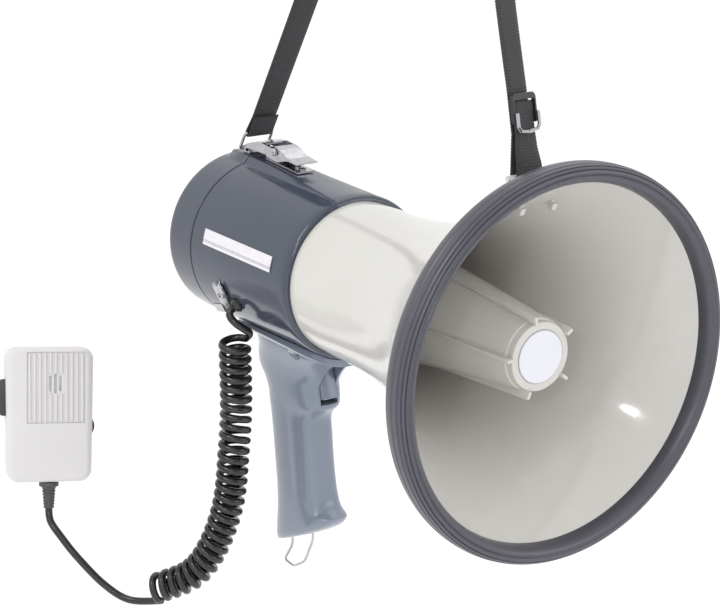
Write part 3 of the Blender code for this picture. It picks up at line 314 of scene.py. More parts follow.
# %% Printed films
BADGE_FILM = moulded("vinyl_film_white", "#DADAE2", "#D3D3DC", 0.30, peel=0.9, peel_depth=0.01)
LABEL_FILM, label_shader = blank("silvered_polyester_film", 0.30, 0.25, 1.55)
label_place = add(LABEL_FILM, "ShaderNodeTexCoord")
label_xyz = add(LABEL_FILM, "ShaderNodeSeparateXYZ", {}, {0: (label_place, "Object")})
label_up = add(LABEL_FILM, "ShaderNodeMath", {"operation": "SUBTRACT", 1: MOUTH.z},
               {0: (label_xyz, "Z")})
label_out = add(LABEL_FILM, "ShaderNodeMath", {"operation": "MULTIPLY", 1: -1.0},
                {0: (label_xyz, "Y")})
label_angle = add(LABEL_FILM, "ShaderNodeMath", {"operation": "ARCTAN2"},
                  {0: (label_out, 0), 1: (label_up, 0)})
rules = None
for rule_degrees, rule_width in ((77.55, 0.17), (78.55, 0.17)):
    rule = add(LABEL_FILM, "ShaderNodeMath",
               {"operation": "COMPARE", 1: math.radians(rule_degrees),
                2: math.radians(rule_width)}, {0: (label_angle, 0)})
    rules = rule if rules is None else add(LABEL_FILM, "ShaderNodeMath", {"operation": "ADD"},
                                           {0: (rules, 0), 1: (rule, 0)})
label_smear = add(LABEL_FILM, "ShaderNodeTexNoise", {"Scale": per_mm(7), "Detail": 4.0},
                  {"Vector": (label_place, "Object")})
label_base = add(LABEL_FILM, "ShaderNodeMix", {"data_type": "RGBA", 6: linear("#E4E1E6"),
                                               7: linear("#D3D0D6")}, {0: (label_smear, "Fac")})
label_tint = add(LABEL_FILM, "ShaderNodeMix", {"data_type": "RGBA", 7: linear("#6E6C78")},
                 {0: (rules, 0), 6: (label_base, 2)})
label_gloss = add(LABEL_FILM, "ShaderNodeMapRange", {"To Min": 0.22, "To Max": 0.40},
                  {"Value": (label_smear, "Fac")})
LABEL_FILM.node_tree.links.new(label_tint.outputs[2], label_shader.inputs["Base Color"])
LABEL_FILM.node_tree.links.new(label_gloss.outputs[0], label_shader.inputs["Roughness"])

# %% [markdown]
# Circuit boards are glass-epoxy under green solder mask. The tracks that show as
# slightly lighter bands under the mask are not drawn; the green only drifts a little lighter in
# blotches.

# %% Circuit board
BOARD = moulded("solder_mask_on_fr4", "#1F5A33", "#2C7344", 0.28, peel=1.2)

# %% [markdown]
# Every CAD node keeps its shape and gets the finish of its slot in the record. The
# pieces that are replaced further down are simply hidden later.

# %% Dress the CAD nodes by their record slots
FINISHES = {
    "horn_plastic": HORN_ABS, "casing_plastic": CASING_ABS, "grip_plastic": GRIP_ABS,
    "rim_rubber": RIM_RUBBER, "seal_rubber": BLACK_RUBBER, "badge_film": BADGE_FILM,
    "chromed_steel": CHROME, "steel": ZINC, "aluminium": ALUMINIUM, "ferrite": FERRITE,
    "diaphragm_film": RESIN, "cell_jacket": CELL_WRAP, "circuit_board": BOARD,
    "black_plastic": NYLON_BLACK, "dark_grey_plastic": NYLON_GREY, "cord_jacket": CORD_PVC,
    "webbing": WEB_WEAVE, "label_film": LABEL_FILM, "microphone_plastic": MIC_ABS,
}
for entry in frame["record"]["subparts"]:
    node = NODES[entry["node"]]
    for surface in node.material_slots:
        surface.material = FINISHES[entry["material_slot"]]


# %% [markdown]
# ## Tools for new pieces
# A piece is either turned round the horn's axis, lofted through rings, cut from a
# flat outline, or bent from wire. Corners are eased with small arcs, because a
# moulded or pressed edge always catches a thin line of light.

# %% Mesh helpers
def shown(name, mesh, mat, body=MAIN, slot=None, sharp=32):
    """Put a mesh in the scene, shade it smooth below an angle, and let it ride a body."""
    ob = bpy.data.objects.new(name, mesh)
    bpy.context.scene.collection.objects.link(ob)
    if mat is not None:
        mesh.materials.append(mat)
        mesh.shade_smooth()
        mesh.set_sharp_from_angle(angle=math.radians(sharp))
        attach(ob, body)
    return ob


def mesh_from(name, verts, faces):
    """A mesh with doubled points welded and its faces turned outwards."""
    mesh = bpy.data.meshes.new(name)
    mesh.from_pydata([tuple(v) for v in verts], [], faces)
    bm = bmesh.new()
    bm.from_mesh(mesh)
    bmesh.ops.remove_doubles(bm, verts=bm.verts, dist=0.000002)
    bmesh.ops.recalc_face_normals(bm, faces=bm.faces)
    bm.to_mesh(mesh)
    bm.free()
    return mesh


def skin(name, rings, mat, around=False, caps=True, **kw):
    """Skin a row of equal rings; around joins the last ring back to the first."""
    n = len(rings[0])
    faces = []
    rows = len(rings) if around else len(rings) - 1
    for k in range(rows):
        m = (k + 1) % len(rings)
        for i in range(n):
            j = (i + 1) % n
            faces.append((k * n + i, k * n + j, m * n + j, m * n + i))
    if caps and not around:
        faces.append(tuple(range(n - 1, -1, -1)))
        faces.append(tuple(range((len(rings) - 1) * n, len(rings) * n)))
    return shown(name, mesh_from(name, [v for ring in rings for v in ring], faces), mat, **kw)


def eased(points, n=3, closed=True):
    """Points given as (a, b, radius), with each corner eased by its own radius."""
    out, m = [], len(points)
    for i, (a, b, r) in enumerate(points):
        p = Vector((a, b))
        if r == 0 or (not closed and i in (0, m - 1)):
            out.append(p)
            continue
        q, s = Vector(points[i - 1][:2]), Vector(points[(i + 1) % m][:2])
        start = p + (q - p).normalized() * min(r, (q - p).length * 0.48)
        stop = p + (s - p).normalized() * min(r, (s - p).length * 0.48)
        for k in range(n + 1):
            t = k / n
            out.append(start * (1 - t) ** 2 + p * 2 * t * (1 - t) + stop * t * t)
    return out


def turned(name, profile, mat, steps=144, **kw):
    """Turn a closed profile of (radius, x) points round the horn's axis."""
    rings = []
    for k in range(steps):
        a = math.tau * k / steps
        rings.append([at(x, r * math.sin(a), r * math.cos(a)) for r, x in profile])
    return skin(name, rings, mat, around=True, **kw)


def slab(name, points, thick, mat, place, bevel=0.0, **kw):
    """A flat outline of (u, v) points with thickness; place turns (u, v, w) into a point."""
    n = len(points)
    rings = []
    steps = [(-0.5, bevel), (-0.5 + bevel * 0.3 / thick, bevel * 0.3), (-0.5 + bevel / thick, 0.0),
             (0.5 - bevel / thick, 0.0), (0.5 - bevel * 0.3 / thick, bevel * 0.3), (0.5, bevel)]
    if bevel == 0:
        steps = [(-0.5, 0.0), (0.5, 0.0)]
    area = sum(points[i - 1][0] * points[i][1] - points[i][0] * points[i - 1][1]
               for i in range(n))
    turn = 1.0 if area > 0 else -1.0
    for w, inset in steps:
        ring = []
        for i in range(n):
            p, q, s = (Vector(points[i - 1][:2]), Vector(points[i][:2]),
                       Vector(points[(i + 1) % n][:2]))
            d = (s - p).normalized()
            q = q + Vector((-d.y, d.x)) * inset * turn
            ring.append(place(q.x, q.y, w * thick))
        rings.append(ring)
    return skin(name, rings, mat, **kw)


def smooth_route(route, step):
    """Evenly spaced points on the Catmull-Rom curve through a route's own points."""
    p = [Vector(q) for q in route]
    p = [2 * p[0] - p[1]] + p + [2 * p[-1] - p[-2]]
    fine = []
    for i in range(1, len(p) - 2):
        a, b, c, d = p[i - 1:i + 3]
        for k in range(24):
            t = k / 24
            fine.append(0.5 * ((2 * b) + (c - a) * t + (2 * a - 5 * b + 4 * c - d) * t * t
                               + (3 * b - a - 3 * c + d) * t ** 3))
    fine.append(p[-2])
    length = [0.0]
    for q, r in zip(fine, fine[1:]):
        length.append(length[-1] + (r - q).length)
    n = max(2, round(length[-1] / step))
    out, j = [], 0
    for k in range(n + 1):
        s = length[-1] * k / n
        while j < len(fine) - 2 and length[j + 1] < s:
            j += 1
        span = length[j + 1] - length[j]
        out.append(fine[j].lerp(fine[j + 1], 0 if span == 0 else min(1, (s - length[j]) / span)))
    return out


def length_of(points):
    return sum((b - a).length for a, b in zip(points, points[1:]))


def wire(name, points, r, mat, body=MAIN, closed=False, sides=4):
    """A round wire or cord: a curve with a thickness through its points."""
    curve = bpy.data.curves.new(name, "CURVE")
    curve.dimensions = "3D"
    curve.bevel_depth = r
    curve.bevel_resolution = sides
    curve.use_fill_caps = True
    spline = curve.splines.new("POLY")
    spline.points.add(len(points) - 1)
    for p, q in zip(spline.points, points):
        p.co = (*q, 1.0)
    spline.use_cyclic_u = closed
    spline.use_smooth = True
    curve.materials.append(mat)
    ob = bpy.data.objects.new(name, curve)
    bpy.context.scene.collection.objects.link(ob)
    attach(ob, body)
    return ob


# %% [markdown]
# ## Microphone cord
# One piece of 5.2 mm cord leaves the gland behind the microphone's clip, is wound
# into twenty-nine tight curls, and ends in the boot of the microphone. The curls
# hang straight down under their own weight and swing out where the microphone
# pulls them. A helix needs a sideways direction that never spins as its middle line
# bends, so that direction is carried from point to point and only made square again.

# %% Curly cord
CORD_R = 2.6 * MM
COIL_R = 11.2 * MM
TURNS = 29
LEAD_OUT = [(-0.2700, -0.0538, -0.0281), (-0.2699, -0.0556, -0.0290), (-0.2686, -0.0572, -0.0322),
            (-0.2650, -0.0550, -0.0366), (-0.2615, -0.0502, -0.0408), (-0.2612, -0.0466, -0.0440)]
CURLS = [(-0.2700, -0.0530, -0.0495), (-0.2700, -0.0530, -0.0950), (-0.2660, -0.0580, -0.1270),
         (-0.2660, -0.0630, -0.1630), (-0.2700, -0.0730, -0.1940), (-0.2780, -0.0860, -0.2150),
         (-0.2950, -0.1060, -0.2280)]
LEAD_IN = [(-0.3080, -0.1200, -0.2375), (-0.3220, -0.1320, -0.2280), (-0.3350, -0.1450, -0.2090),
           (-0.3460, -0.1515, -0.1960), (-0.3540, -0.1545, -0.1880), (-0.3574, -0.1543, -0.1824),
           (-0.3597, -0.1528, -0.1738)]
PER_TURN = 18

middle = smooth_route([at(*p) for p in CURLS], length_of(
    smooth_route([at(*p) for p in CURLS], 0.002)) / (TURNS * PER_TURN))
middle = middle[:TURNS * PER_TURN + 1]
side = Vector((math.cos(math.radians(44)), math.sin(math.radians(44)), 0.0))
curl = []
for i, p in enumerate(middle):
    ahead = (middle[min(i + 1, len(middle) - 1)] - middle[max(i - 1, 0)]).normalized()
    side = (side - ahead * side.dot(ahead)).normalized()
    turn = math.tau * i / PER_TURN
    curl.append(p + (COIL_R - CORD_R) * (side * math.cos(turn)
                                         + side.cross(ahead) * math.sin(turn)))
lead_out = smooth_route([at(*p) for p in LEAD_OUT] + curl[2:4], 0.0025)
lead_in = smooth_route(curl[-3:-1] + [at(*p) for p in LEAD_IN], 0.0035)
cord_line = lead_out[:-1] + curl[4:-3] + lead_in
cord = wire("microphone_cord", cord_line, CORD_R, CORD_PVC, sides=3)
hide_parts("cord_lead_out", "cord_curls", "cord_lead_in")

# %% [markdown]
# ## Shoulder strap
# The strap is one length of 19 mm webbing. It starts sewn round the wire loop on
# the rear cover, climbs over the shoulder, comes down to the bracket behind the
# horn's rim, folds round its bar and runs back up into the slider. On the front run
# it is turned a little, as webbing does when the two ends don't quite line up.

# %% Strap route
WEB_W = 19.0 * MM
WEB_T = 1.3 * MM
RIB = 1.7 * MM
LOOP_LEAN = math.radians(33.0)
STRAP = [(-0.3219, 0.0, 0.0778), (-0.2950, 0.0, 0.1190), (-0.2560, 0.0, 0.1790),
         (-0.2130, 0.0, 0.2460), (-0.1720, 0.0, 0.3090), (-0.1420, 0.0, 0.3530),
         (-0.1190, 0.0, 0.3700), (-0.0980, 0.0, 0.3560), (-0.0835, 0.0, 0.3130),
         (-0.0705, 0.0, 0.2530), (-0.0580, 0.0, 0.1960), (-0.0478, 0.0, 0.1550)]
FRONT_DIR = Vector((-0.207, 0.0, 0.978)).normalized()
TWIST = math.radians(-18.0)
BRACKET = at(-0.0350, 0, 0.1008)
LOOP_UP = Vector((math.sin(LOOP_LEAN), 0, math.cos(LOOP_LEAN)))
LOOP_BACK = Vector((-LOOP_UP.z, 0, LOOP_UP.x))
LOOP_FOOT = at(-0.3305, 0, 0.0633)
LOOP_BAR = LOOP_FOOT + LOOP_UP * 0.0140


def front_axes(d):
    """Across the webbing and off its face, at a distance d up the front run."""
    t = TWIST * max(0.0, min(1.0, d / 0.022))
    across = Vector((math.sin(t), math.cos(t), 0.0))
    across = (across - FRONT_DIR * across.dot(FRONT_DIR)).normalized()
    return across, across.cross(FRONT_DIR)


def front_frame(n, d, y=0.0):
    """A point on the front run: n off the strap's face, d up along it, y across."""
    across, off = front_axes(d)
    return BRACKET + off * n + FRONT_DIR * d + across * y


line, across_list = [], []
r = 0.0011 + 0.0004 + WEB_T / 2
for s in (0.0160, 0.0080, 0.0010):
    line.append(LOOP_BAR - LOOP_BACK * r + LOOP_UP * s)
for k in range(1, 8):
    a = math.pi * k / 8
    line.append(LOOP_BAR - LOOP_BACK * (r * math.cos(a)) - LOOP_UP * (r * math.sin(a)))
line.append(LOOP_BAR + LOOP_BACK * r + LOOP_UP * 0.0010)
across_list = [Vector((0, 1, 0))] * len(line)
start = LOOP_BAR + LOOP_BACK * r + LOOP_UP * 0.0040
rear_end = at(-0.3, 0, 0).x
for p in smooth_route([at(*q) for q in STRAP], 0.0120):
    if (p - start).dot(LOOP_UP) <= 0.004 and p.x <= rear_end:
        continue
    if (p - BRACKET).dot(FRONT_DIR) <= 0.056 and p.x >= at(-0.12, 0, 0).x:
        continue
    turn = 0.0
    if p.x > at(-0.1190, 0, 0).x:
        turn = TWIST * max(0.0, min(1.0, (0.340 - p.z + MOUTH.z) / 0.060))
    line.append(p)
    across_list.append(Vector((math.sin(turn), math.cos(turn), 0.0)))
for n, d in ((-WEB_T / 2, 0.0480), (-WEB_T / 2, 0.0360), (-WEB_T / 2, 0.0240), (-0.0016, 0.0120)):
    line.append(front_frame(n, d))
    across_list.append(front_axes(d)[0])
q = 0.0017 + 0.0005 + WEB_T / 2
for k in range(9):
    a = math.pi * k / 8
    line.append(BRACKET - front_axes(0)[1] * (q * math.cos(a)) - FRONT_DIR * (q * math.sin(a)))
    across_list.append(Vector((0, 1, 0)))
for n, d in ((q, 0.0060), (0.0005 + WEB_T, 0.0150), (0.0007 + WEB_T, 0.0240),
             (0.0007 + WEB_T, 0.0330), (0.0007 + WEB_T, 0.0412)):
    line.append(front_frame(n, d))
    across_list.append(front_axes(d)[0])

# %% [markdown]
# The ribs are modelled, because they scallop the webbing's edge against the light:
# four rings of points to each 1.7 mm rib, thick and wide on the rib and thin and
# narrow between. The UV map runs in metres across and along, which is what the
# weave pattern of the material is drawn in.

# %% Strap mesh
marks = [0.0]
for a, b in zip(line, line[1:]):
    marks.append(marks[-1] + (b - a).length)
strap_length = marks[-1]
PER_RIB = 4
count = int(strap_length / RIB) * PER_RIB
rings, centres, j = [], [], 0
for i in range(count + 1):
    s = strap_length * i / count
    while j < len(marks) - 2 and marks[j + 1] < s:
        j += 1
    f = (s - marks[j]) / (marks[j + 1] - marks[j])
    p0, p1 = line[max(j - 1, 0)], line[j]
    p2, p3 = line[j + 1], line[min(j + 2, len(line) - 1)]
    p = p1.lerp(p2, f)
    along = ((p2 - p1) * 1.0 + (p1 - p0) * (1 - f) * 0.5 + (p3 - p2) * f * 0.5).normalized()
    w = across_list[j].lerp(across_list[j + 1], f)
    w = (w - along * w.dot(along)).normalized()
    up = w.cross(along)
    swell = 0.5 + 0.5 * math.cos(math.tau * i / PER_RIB)
    half, thick = WEB_W / 2 - 0.30 * MM * (1 - swell), WEB_T * (0.26 + 0.24 * swell)
    ring = []
    for u, v in ((-1.0, -0.35), (-0.97, -1.0), (-0.5, -1.0), (0.0, -1.0), (0.5, -1.0),
                 (0.97, -1.0), (1.0, -0.35), (1.0, 0.35), (0.97, 1.0), (0.5, 1.0), (0.0, 1.0),
                 (-0.5, 1.0), (-0.97, 1.0), (-1.0, 0.35)):
        ring.append(p + w * (u * half) + up * (v * thick))
    rings.append(ring)
    centres.append(p)
strap = skin("shoulder_strap", rings, WEB_WEAVE, slot="webbing", sharp=70)
uv = strap.data.uv_layers.new(name="weave").data
for poly in strap.data.polygons:
    for loop in poly.loop_indices:
        v = strap.data.loops[loop].vertex_index
        ring_no = min(v // 14, count)
        uv[loop].uv = ((strap.data.vertices[v].co - centres[ring_no]).dot(Vector((0, 1, 0)))
                       + 0.17 * RIB * (ring_no % 2), strap_length * ring_no / count)
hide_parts("strap_webbing")
print("strap:", round(strap_length, 3), "m,", count // PER_RIB, "ribs")

# %% [markdown]
# Some pieces are several meshes welded into one, or have holes cut in them. Both
# tools work on bare meshes and give one finished piece.

# %% Join and cut
def together(name, parts, mat, **kw):
    """One piece made of several bare meshes."""
    bm = bmesh.new()
    for part in parts:
        bm.from_mesh(part.data)
        bpy.data.objects.remove(part)
    mesh = bpy.data.meshes.new(name)
    bm.to_mesh(mesh)
    bm.free()
    return shown(name, mesh, mat, **kw)


def carve(ob, tools, operation="DIFFERENCE"):
    """Cut bare meshes out of a bare mesh, or weld them to it with "UNION"."""
    for tool in tools:
        step = ob.modifiers.new("cut", "BOOLEAN")
        step.operation, step.solver, step.object = operation, "EXACT", tool
    view = bpy.context.evaluated_depsgraph_get()
    mesh = bpy.data.meshes.new_from_object(ob.evaluated_get(view))
    ob.modifiers.clear()
    ob.data = mesh
    for tool in tools:
        bpy.data.objects.remove(tool)
    return ob


def block(name, size, place):
    """A bare box; place turns its own (u, v, w) into a point."""
    x, y, z = size[0] / 2, size[1] / 2, size[2] / 2
    return skin(name, [[place(u, v, w) for u, v in ((-x, -y), (x, -y), (x, y), (-x, y))]
                       for w in (-z, z)], None)


def superoval(a, b, n, power):
    """Points of a rounded box-like oval with half axes a and b."""
    out = []
    for i in range(n):
        c, s = math.cos(math.tau * i / n), math.sin(math.tau * i / n)
        out.append((a * math.copysign(abs(c) ** (2 / power), c),
                    b * math.copysign(abs(s) ** (2 / power), s)))
    return out


# %% [markdown]
# ## Horn
# The bell flares as a power curve: 51 mm radius at the neck, 107 mm at the mouth,
# with a 2.4 mm wall measured square to the skin. Its neck runs back into the casing
# and ends in a wall that the sound enters through.

# %% Horn bell
def bell_r(x):
    """Outside radius of the horn at x."""
    return 0.0510 + 0.0560 * max(0.0, (x + 0.178) / 0.178) ** 2.2


outside, inside = [], []
for k in range(49):
    x = -0.178 * (k / 48) ** 1.15
    slope = (bell_r(x + 1e-4) - bell_r(x - 1e-4)) / 2e-4
    d = math.hypot(1, slope)
    outside.append((bell_r(x), x))
    inside.append((bell_r(x) - 0.0024 / d, x + 0.0024 * slope / d))
inside.sort(key=lambda q: q[1])
outside += [(0.0508, -0.200), (0.0508, -0.2220), (0.0130, -0.2220), (0.0130, -0.2196),
            (0.0484, -0.2196)]
bell = turned("horn_skin", outside + inside, HORN_ABS, steps=180, slot="horn_plastic")
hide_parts("horn_bell")
print("bell:", len(outside) + len(inside), "points in its section")

# %% [markdown]
# The rim is one moulded rubber ring, 11 mm through and 18 mm deep, pushed over the
# bell's edge. Fine grooves run round its front and its outside.

# %% Ribbed rubber rim
section = []
for k in range(200):
    a = math.tau * k / 200
    c, s = math.cos(a), math.sin(a)
    groove = sum(math.exp(-((math.degrees(a) - g) / 3.4) ** 2) for g in (2, 24, 46, 68, 92))
    reach = 1.0 - 0.10 * groove
    section.append((0.10935 + 0.00565 * reach * math.copysign(abs(c) ** 0.8, c),
                    0.0092 * reach * math.copysign(abs(s) ** 0.8, s)))
rim = turned("rim_skin", section, RIM_RUBBER, steps=180, slot="rim_rubber", sharp=60)
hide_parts("rim_bumper")


# %% [markdown]
# The reflector in the middle is a tapering can with a raised lip round its badge.
# Five thin fins stand on it from lip to neck and hold it centred in the bell.

# %% Reflector with its five fins
def cup_r(x):
    t = (x + 0.022) / -0.128
    return 0.0212 + 0.0138 * min(1.0, max(0.0, t)) ** 0.92


can = eased([(0.0, -0.0189, 0), (0.0158, -0.0189, 0.0002), (0.0161, -0.0185, 0.0003),
             (0.0203, -0.0185, 0.0009), (0.0205, -0.0232, 0.0002),
             (cup_r(-0.0238), -0.0236, 0.0002),
             (cup_r(-0.034), -0.034, 0), (cup_r(-0.050), -0.050, 0), (cup_r(-0.080), -0.080, 0),
             (cup_r(-0.110), -0.110, 0), (cup_r(-0.150), -0.150, 0),
             (cup_r(-0.150) - 0.0022, -0.150, 0), (cup_r(-0.080) - 0.0022, -0.080, 0),
             (0.0190, -0.0240, 0.001), (0.0165, -0.0215, 0.001), (0.0, -0.0215, 0)])
parts = [turned("can", can, None, steps=96)]
fin = eased([(-0.0162, 0.0252, 0.0012), (-0.060, 0.0276, 0), (-0.095, 0.0296, 0.004),
             (-0.140, 0.0360, 0.012), (-0.172, 0.0481, 0.003), (-0.205, 0.0481, 0.001),
             (-0.205, 0.0420, 0.001), (-0.172, 0.0400, 0.004), (-0.148, 0.0340, 0.004),
             (-0.110, 0.0302, 0), (-0.050, 0.0225, 0), (-0.0232, 0.0200, 0),
             (-0.0205, 0.0196, 0), (-0.0162, 0.0205, 0)], n=2)
for k in range(5):
    a = math.radians(59 + 72 * k)
    parts.append(slab(f"fin_{k}", fin, 1.9 * MM, None,
                      lambda u, v, w: at(u, v * math.sin(a) + w * math.cos(a),
                                         v * math.cos(a) - w * math.sin(a)), bevel=0.3 * MM))
cup = together("reflector_skin", parts, HORN_ABS, slot="horn_plastic")
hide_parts("reflector_cup")
print("reflector faces:", len(cup.data.polygons))


# %% [markdown]
# ## Casing and cover
# The casing is a slightly tapering tube with a flat landing on top for the latch.
# Each ring of the loft takes whichever is higher, the round skin or the landing.

# %% Casing and rear cover
def case_r(x):
    return 0.0573 - 0.0028 * (x + 0.3192) / 0.1167


LANDING = ((-0.3525, 0.0085, 0.0120, 0.0560), (-0.3465, 0.0085, 0.0120, 0.0570),
           (-0.3415, 0.0098, 0.0142, 0.0606), (-0.3204, 0.0100, 0.0145, 0.0606),
           (-0.3192, 0.0100, 0.0145, 0.0606), (-0.2900, 0.0100, 0.0150, 0.0588),
           (-0.2500, 0.0112, 0.0160, 0.0561), (-0.2120, 0.0148, 0.0160, 0.0535),
           (-0.2025, 0.0150, 0.0160, 0.0528))


def landing(x):
    """Half width on top, half width at the base and height of the landing at x."""
    for p, q in zip(LANDING, LANDING[1:]):
        if x <= q[0]:
            f = max(0.0, (x - p[0]) / (q[0] - p[0]))
            return [p[i] + (q[i] - p[i]) * f for i in (1, 2, 3)]
    return LANDING[-1][1:]


def case_ring(x, r, inset=0.0):
    """One ring of the casing; inset lowers the landing where the edge is rounded."""
    top, base, high = landing(x)
    high -= inset
    across = [-base, -base + 0.0006, -top - 0.0007, -top, -top + 0.0007, -top * 0.5, 0.0,
              top * 0.5, top - 0.0007, top, top + 0.0007, base - 0.0006, base]
    drop = [9, 0.0001, 0.0000, 0.00018, 0.00002, 0, 0, 0, 0.00002, 0.00018, 0.0, 0.0001, 9]
    ring = []
    for y, d in zip(across, drop):
        skin_z = math.sqrt(max(r * r - y * y, 0))
        low = math.sqrt(max(r * r - base * base, 0))
        part = min(1.0, max(0.0, (abs(y) - top) / (base - top)))
        ring.append(at(x, y, max(skin_z, high - part * max(0.0, high - low) - d)))
    start = math.asin(min(1.0, base / r))
    for i in range(1, 132):
        a = start + (math.tau - 2 * start) * i / 132
        ring.append(at(x, r * math.sin(a), r * math.cos(a)))
    return ring


CASE_WALL = 2.6 * MM
COLLAR_R = 51.1 * MM   # the hole that the horn's neck passes through


def inner_ring(ring, x, radius):
    """The ring moved to x, with every point brought to one radius."""
    out = []
    for q in ring:
        v = q - MOUTH
        f = radius / v.yz.length
        out.append(at(x, v.y * f, v.z * f))
    return out


rings = []
for x, cutback in ((-0.2025, 0.0034), (-0.2027, 0.0022), (-0.2033, 0.0012), (-0.2043, 0.0004),
                   (-0.2059, 0.0), (-0.2120, 0.0), (-0.2300, 0.0), (-0.2500, 0.0), (-0.2700, 0.0),
                   (-0.2900, 0.0), (-0.3080, 0.0), (-0.3188, 0.0), (-0.3192, 0.0004)):
    rings.append(case_ring(x, case_r(x) - cutback, cutback))
middle_ring = rings[9]
for x in (-0.3192, -0.2700, -0.2068):
    rings.append(inner_ring(middle_ring, x, case_r(x) - CASE_WALL))
rings += [inner_ring(middle_ring, x, COLLAR_R) for x in (-0.2068, -0.2025)]
shell = skin("case_tube", rings, None, around=True)
rings = []
for r in (0.048, 0.062):   # the cord's hole points out at 117.5 degrees from the top
    ring = []
    for k in range(24):
        t = math.tau * k / 24
        u, v = 0.0042 * math.cos(t), 0.0042 * math.sin(t)
        ring.append(at(-0.2700 + u, -r * 0.8870 + v * 0.4617, -r * 0.4617 - v * 0.8870))
    rings.append(ring)
carve(shell, [skin("cord_hole", rings, None)])


def knuckle(name, sign, y, wide):
    """A knuckle of the cover's hinge, from one side or the other."""
    shape = [(-0.0034, 0.0), (-0.0017, -0.0030), (0.0017, -0.0030), (0.0034, 0.0),
             (0.0110, 0.0066), (0.0008, 0.0066), (0.0008, 0.0036), (-0.0024, 0.0026)]
    return slab(name, eased([(sign * u, v, 0.0006) for u, v in shape]), wide, None,
                lambda u, v, w: at(-0.3197 + u, y + w, -0.0612 + v), bevel=0.3 * MM)


case = together("casing_skin", [shell, knuckle("knuckle_a", 1, 0.0082, 0.0070),
                                knuckle("knuckle_b", 1, -0.0082, 0.0070)],
                CASING_ABS, slot="casing_plastic")
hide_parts("main_casing")

rings = [case_ring(-0.3204, 0.0569, 0.0004), case_ring(-0.3208, 0.0573)]
rings += [case_ring(x, 0.0573) for x in (-0.3300, -0.3415, -0.3440, -0.3465)]
for k in range(1, 9):
    t = math.pi / 2 * k / 8
    rings.append(case_ring(-0.3480 - 0.0045 * math.sin(t), 0.0528 + 0.0045 * math.cos(t),
                           0.0050 * k / 8))
rim_ring = [q - MOUTH for q in rings[-1]]
for x, f in ((-0.3525, 0.5), (-0.3525, 0.02), (-0.3499, 0.02), (-0.3499, 0.5), (-0.3499, 0.95),
             (-0.3480, 0.985), (-0.3300, 0.985), (-0.3204, 1.0)):
    rings.append([at(x, v.y * f * min(1.0, 0.0530 / v.yz.length),
                     v.z * f * min(1.0, 0.0530 / v.yz.length)) for v in rim_ring])
lid = together("cover_skin", [skin("cover_tube", rings, None, around=True),
                              knuckle("knuckle_c", -1, 0.0, 0.0086)],
               CASING_ABS, body="cover", slot="casing_plastic")
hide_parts("battery_cover")

# %% [markdown]
# ## Grip
# The pistol grip is lofted from rounded ovals: a foot that sweeps forward, a waist
# for the fingers with two shallow flutes along each side, a notch under the trigger,
# and a saddle plate that wraps the underside of the casing.

# %% Grip
STATIONS = ((-0.2655, -0.2020, 0.0230, 0.0112, 0.48), (-0.2640, -0.2005, 0.0275, 0.0142, 0.49),
            (-0.2620, -0.1980, 0.0308, 0.0160, 0.50), (-0.2608, -0.1940, 0.0330, 0.0170, 0.50),
            (-0.2612, -0.1890, 0.0322, 0.0171, 0.42), (-0.2640, -0.1785, 0.0272, 0.0167, 0.22),
            (-0.2662, -0.1640, 0.0256, 0.0163, 0.08), (-0.2690, -0.1450, 0.0256, 0.0160, 0.0),
            (-0.2712, -0.1250, 0.0258, 0.0160, 0.0), (-0.2728, -0.1120, 0.0262, 0.0162, 0.0),
            (-0.2716, -0.1050, 0.0290, 0.0166, 0.0), (-0.2690, -0.0985, 0.0330, 0.0170, 0.0),
            (-0.2712, -0.0900, 0.0348, 0.0178, 0.0), (-0.2745, -0.0820, 0.0372, 0.0190, 0.0),
            (-0.2705, -0.0720, 0.0400, 0.0215, 0.0), (-0.2640, -0.0640, 0.0430, 0.0245, 0.0),
            (-0.2580, -0.0560, 0.0490, 0.0275, 0.0), (-0.2580, -0.0480, 0.0490, 0.0290, 0.0))
rings = []
for n in range(len(STATIONS) - 1):
    a, b = STATIONS[max(n - 1, 0)], STATIONS[n]
    c, d = STATIONS[n + 1], STATIONS[min(n + 2, len(STATIONS) - 1)]
    for k in range(4):
        t = k / 4
        x, z, deep, wide, rise = [0.5 * (2 * q + (r - p) * t + (2 * p - 5 * q + 4 * r - s) * t * t
                                         + (3 * q - p - 3 * r + s) * t ** 3)
                                  for p, q, r, s in zip(a, b, c, d)]
        flute = min(1.0, max(0.0, (z + 0.172) / 0.008)) * min(1.0, max(0.0, (-0.101 - z) / 0.006))
        ring = []
        for u, v in superoval(deep, wide, 72, 2.6):
            dip = sum(math.exp(-((u / deep - g) / 0.13) ** 2) for g in (0.22, 0.66))
            ring.append(at(x + u, v * (1 - 0.055 * dip * flute), z + u * rise))
        rings.append(ring)
rings.append([at(-0.2580 + u, v, -0.0480) for u, v in superoval(0.0490, 0.0290, 72, 2.6)])
stem = skin("grip_stem", rings, None)
rings = []
for x, half, r in ((-0.3086, 24.0, 0.0592), (-0.3080, 27.0, 0.0601), (-0.3030, 33.0, 0.0604),
                   (-0.2900, 37.5, 0.0604), (-0.2300, 38.5, 0.0604), (-0.2150, 35.0, 0.0603),
                   (-0.2066, 24.0, 0.0600), (-0.2060, 21.0, 0.0590)):
    ring = []
    for i in range(41):
        a = math.radians(180 + half * (i / 20 - 1))
        ease = 0.0009 * max(0.0, abs(i / 20 - 1) - 0.9) / 0.1
        ring.append(at(x, (r - ease) * math.sin(a), (r - ease) * math.cos(a)))
    rings.append(ring + [at(x, 0.030 * math.sin(math.radians(220)), -0.040),
                         at(x, 0.030 * math.sin(math.radians(140)), -0.040)])
saddle = skin("grip_saddle", rings, None)
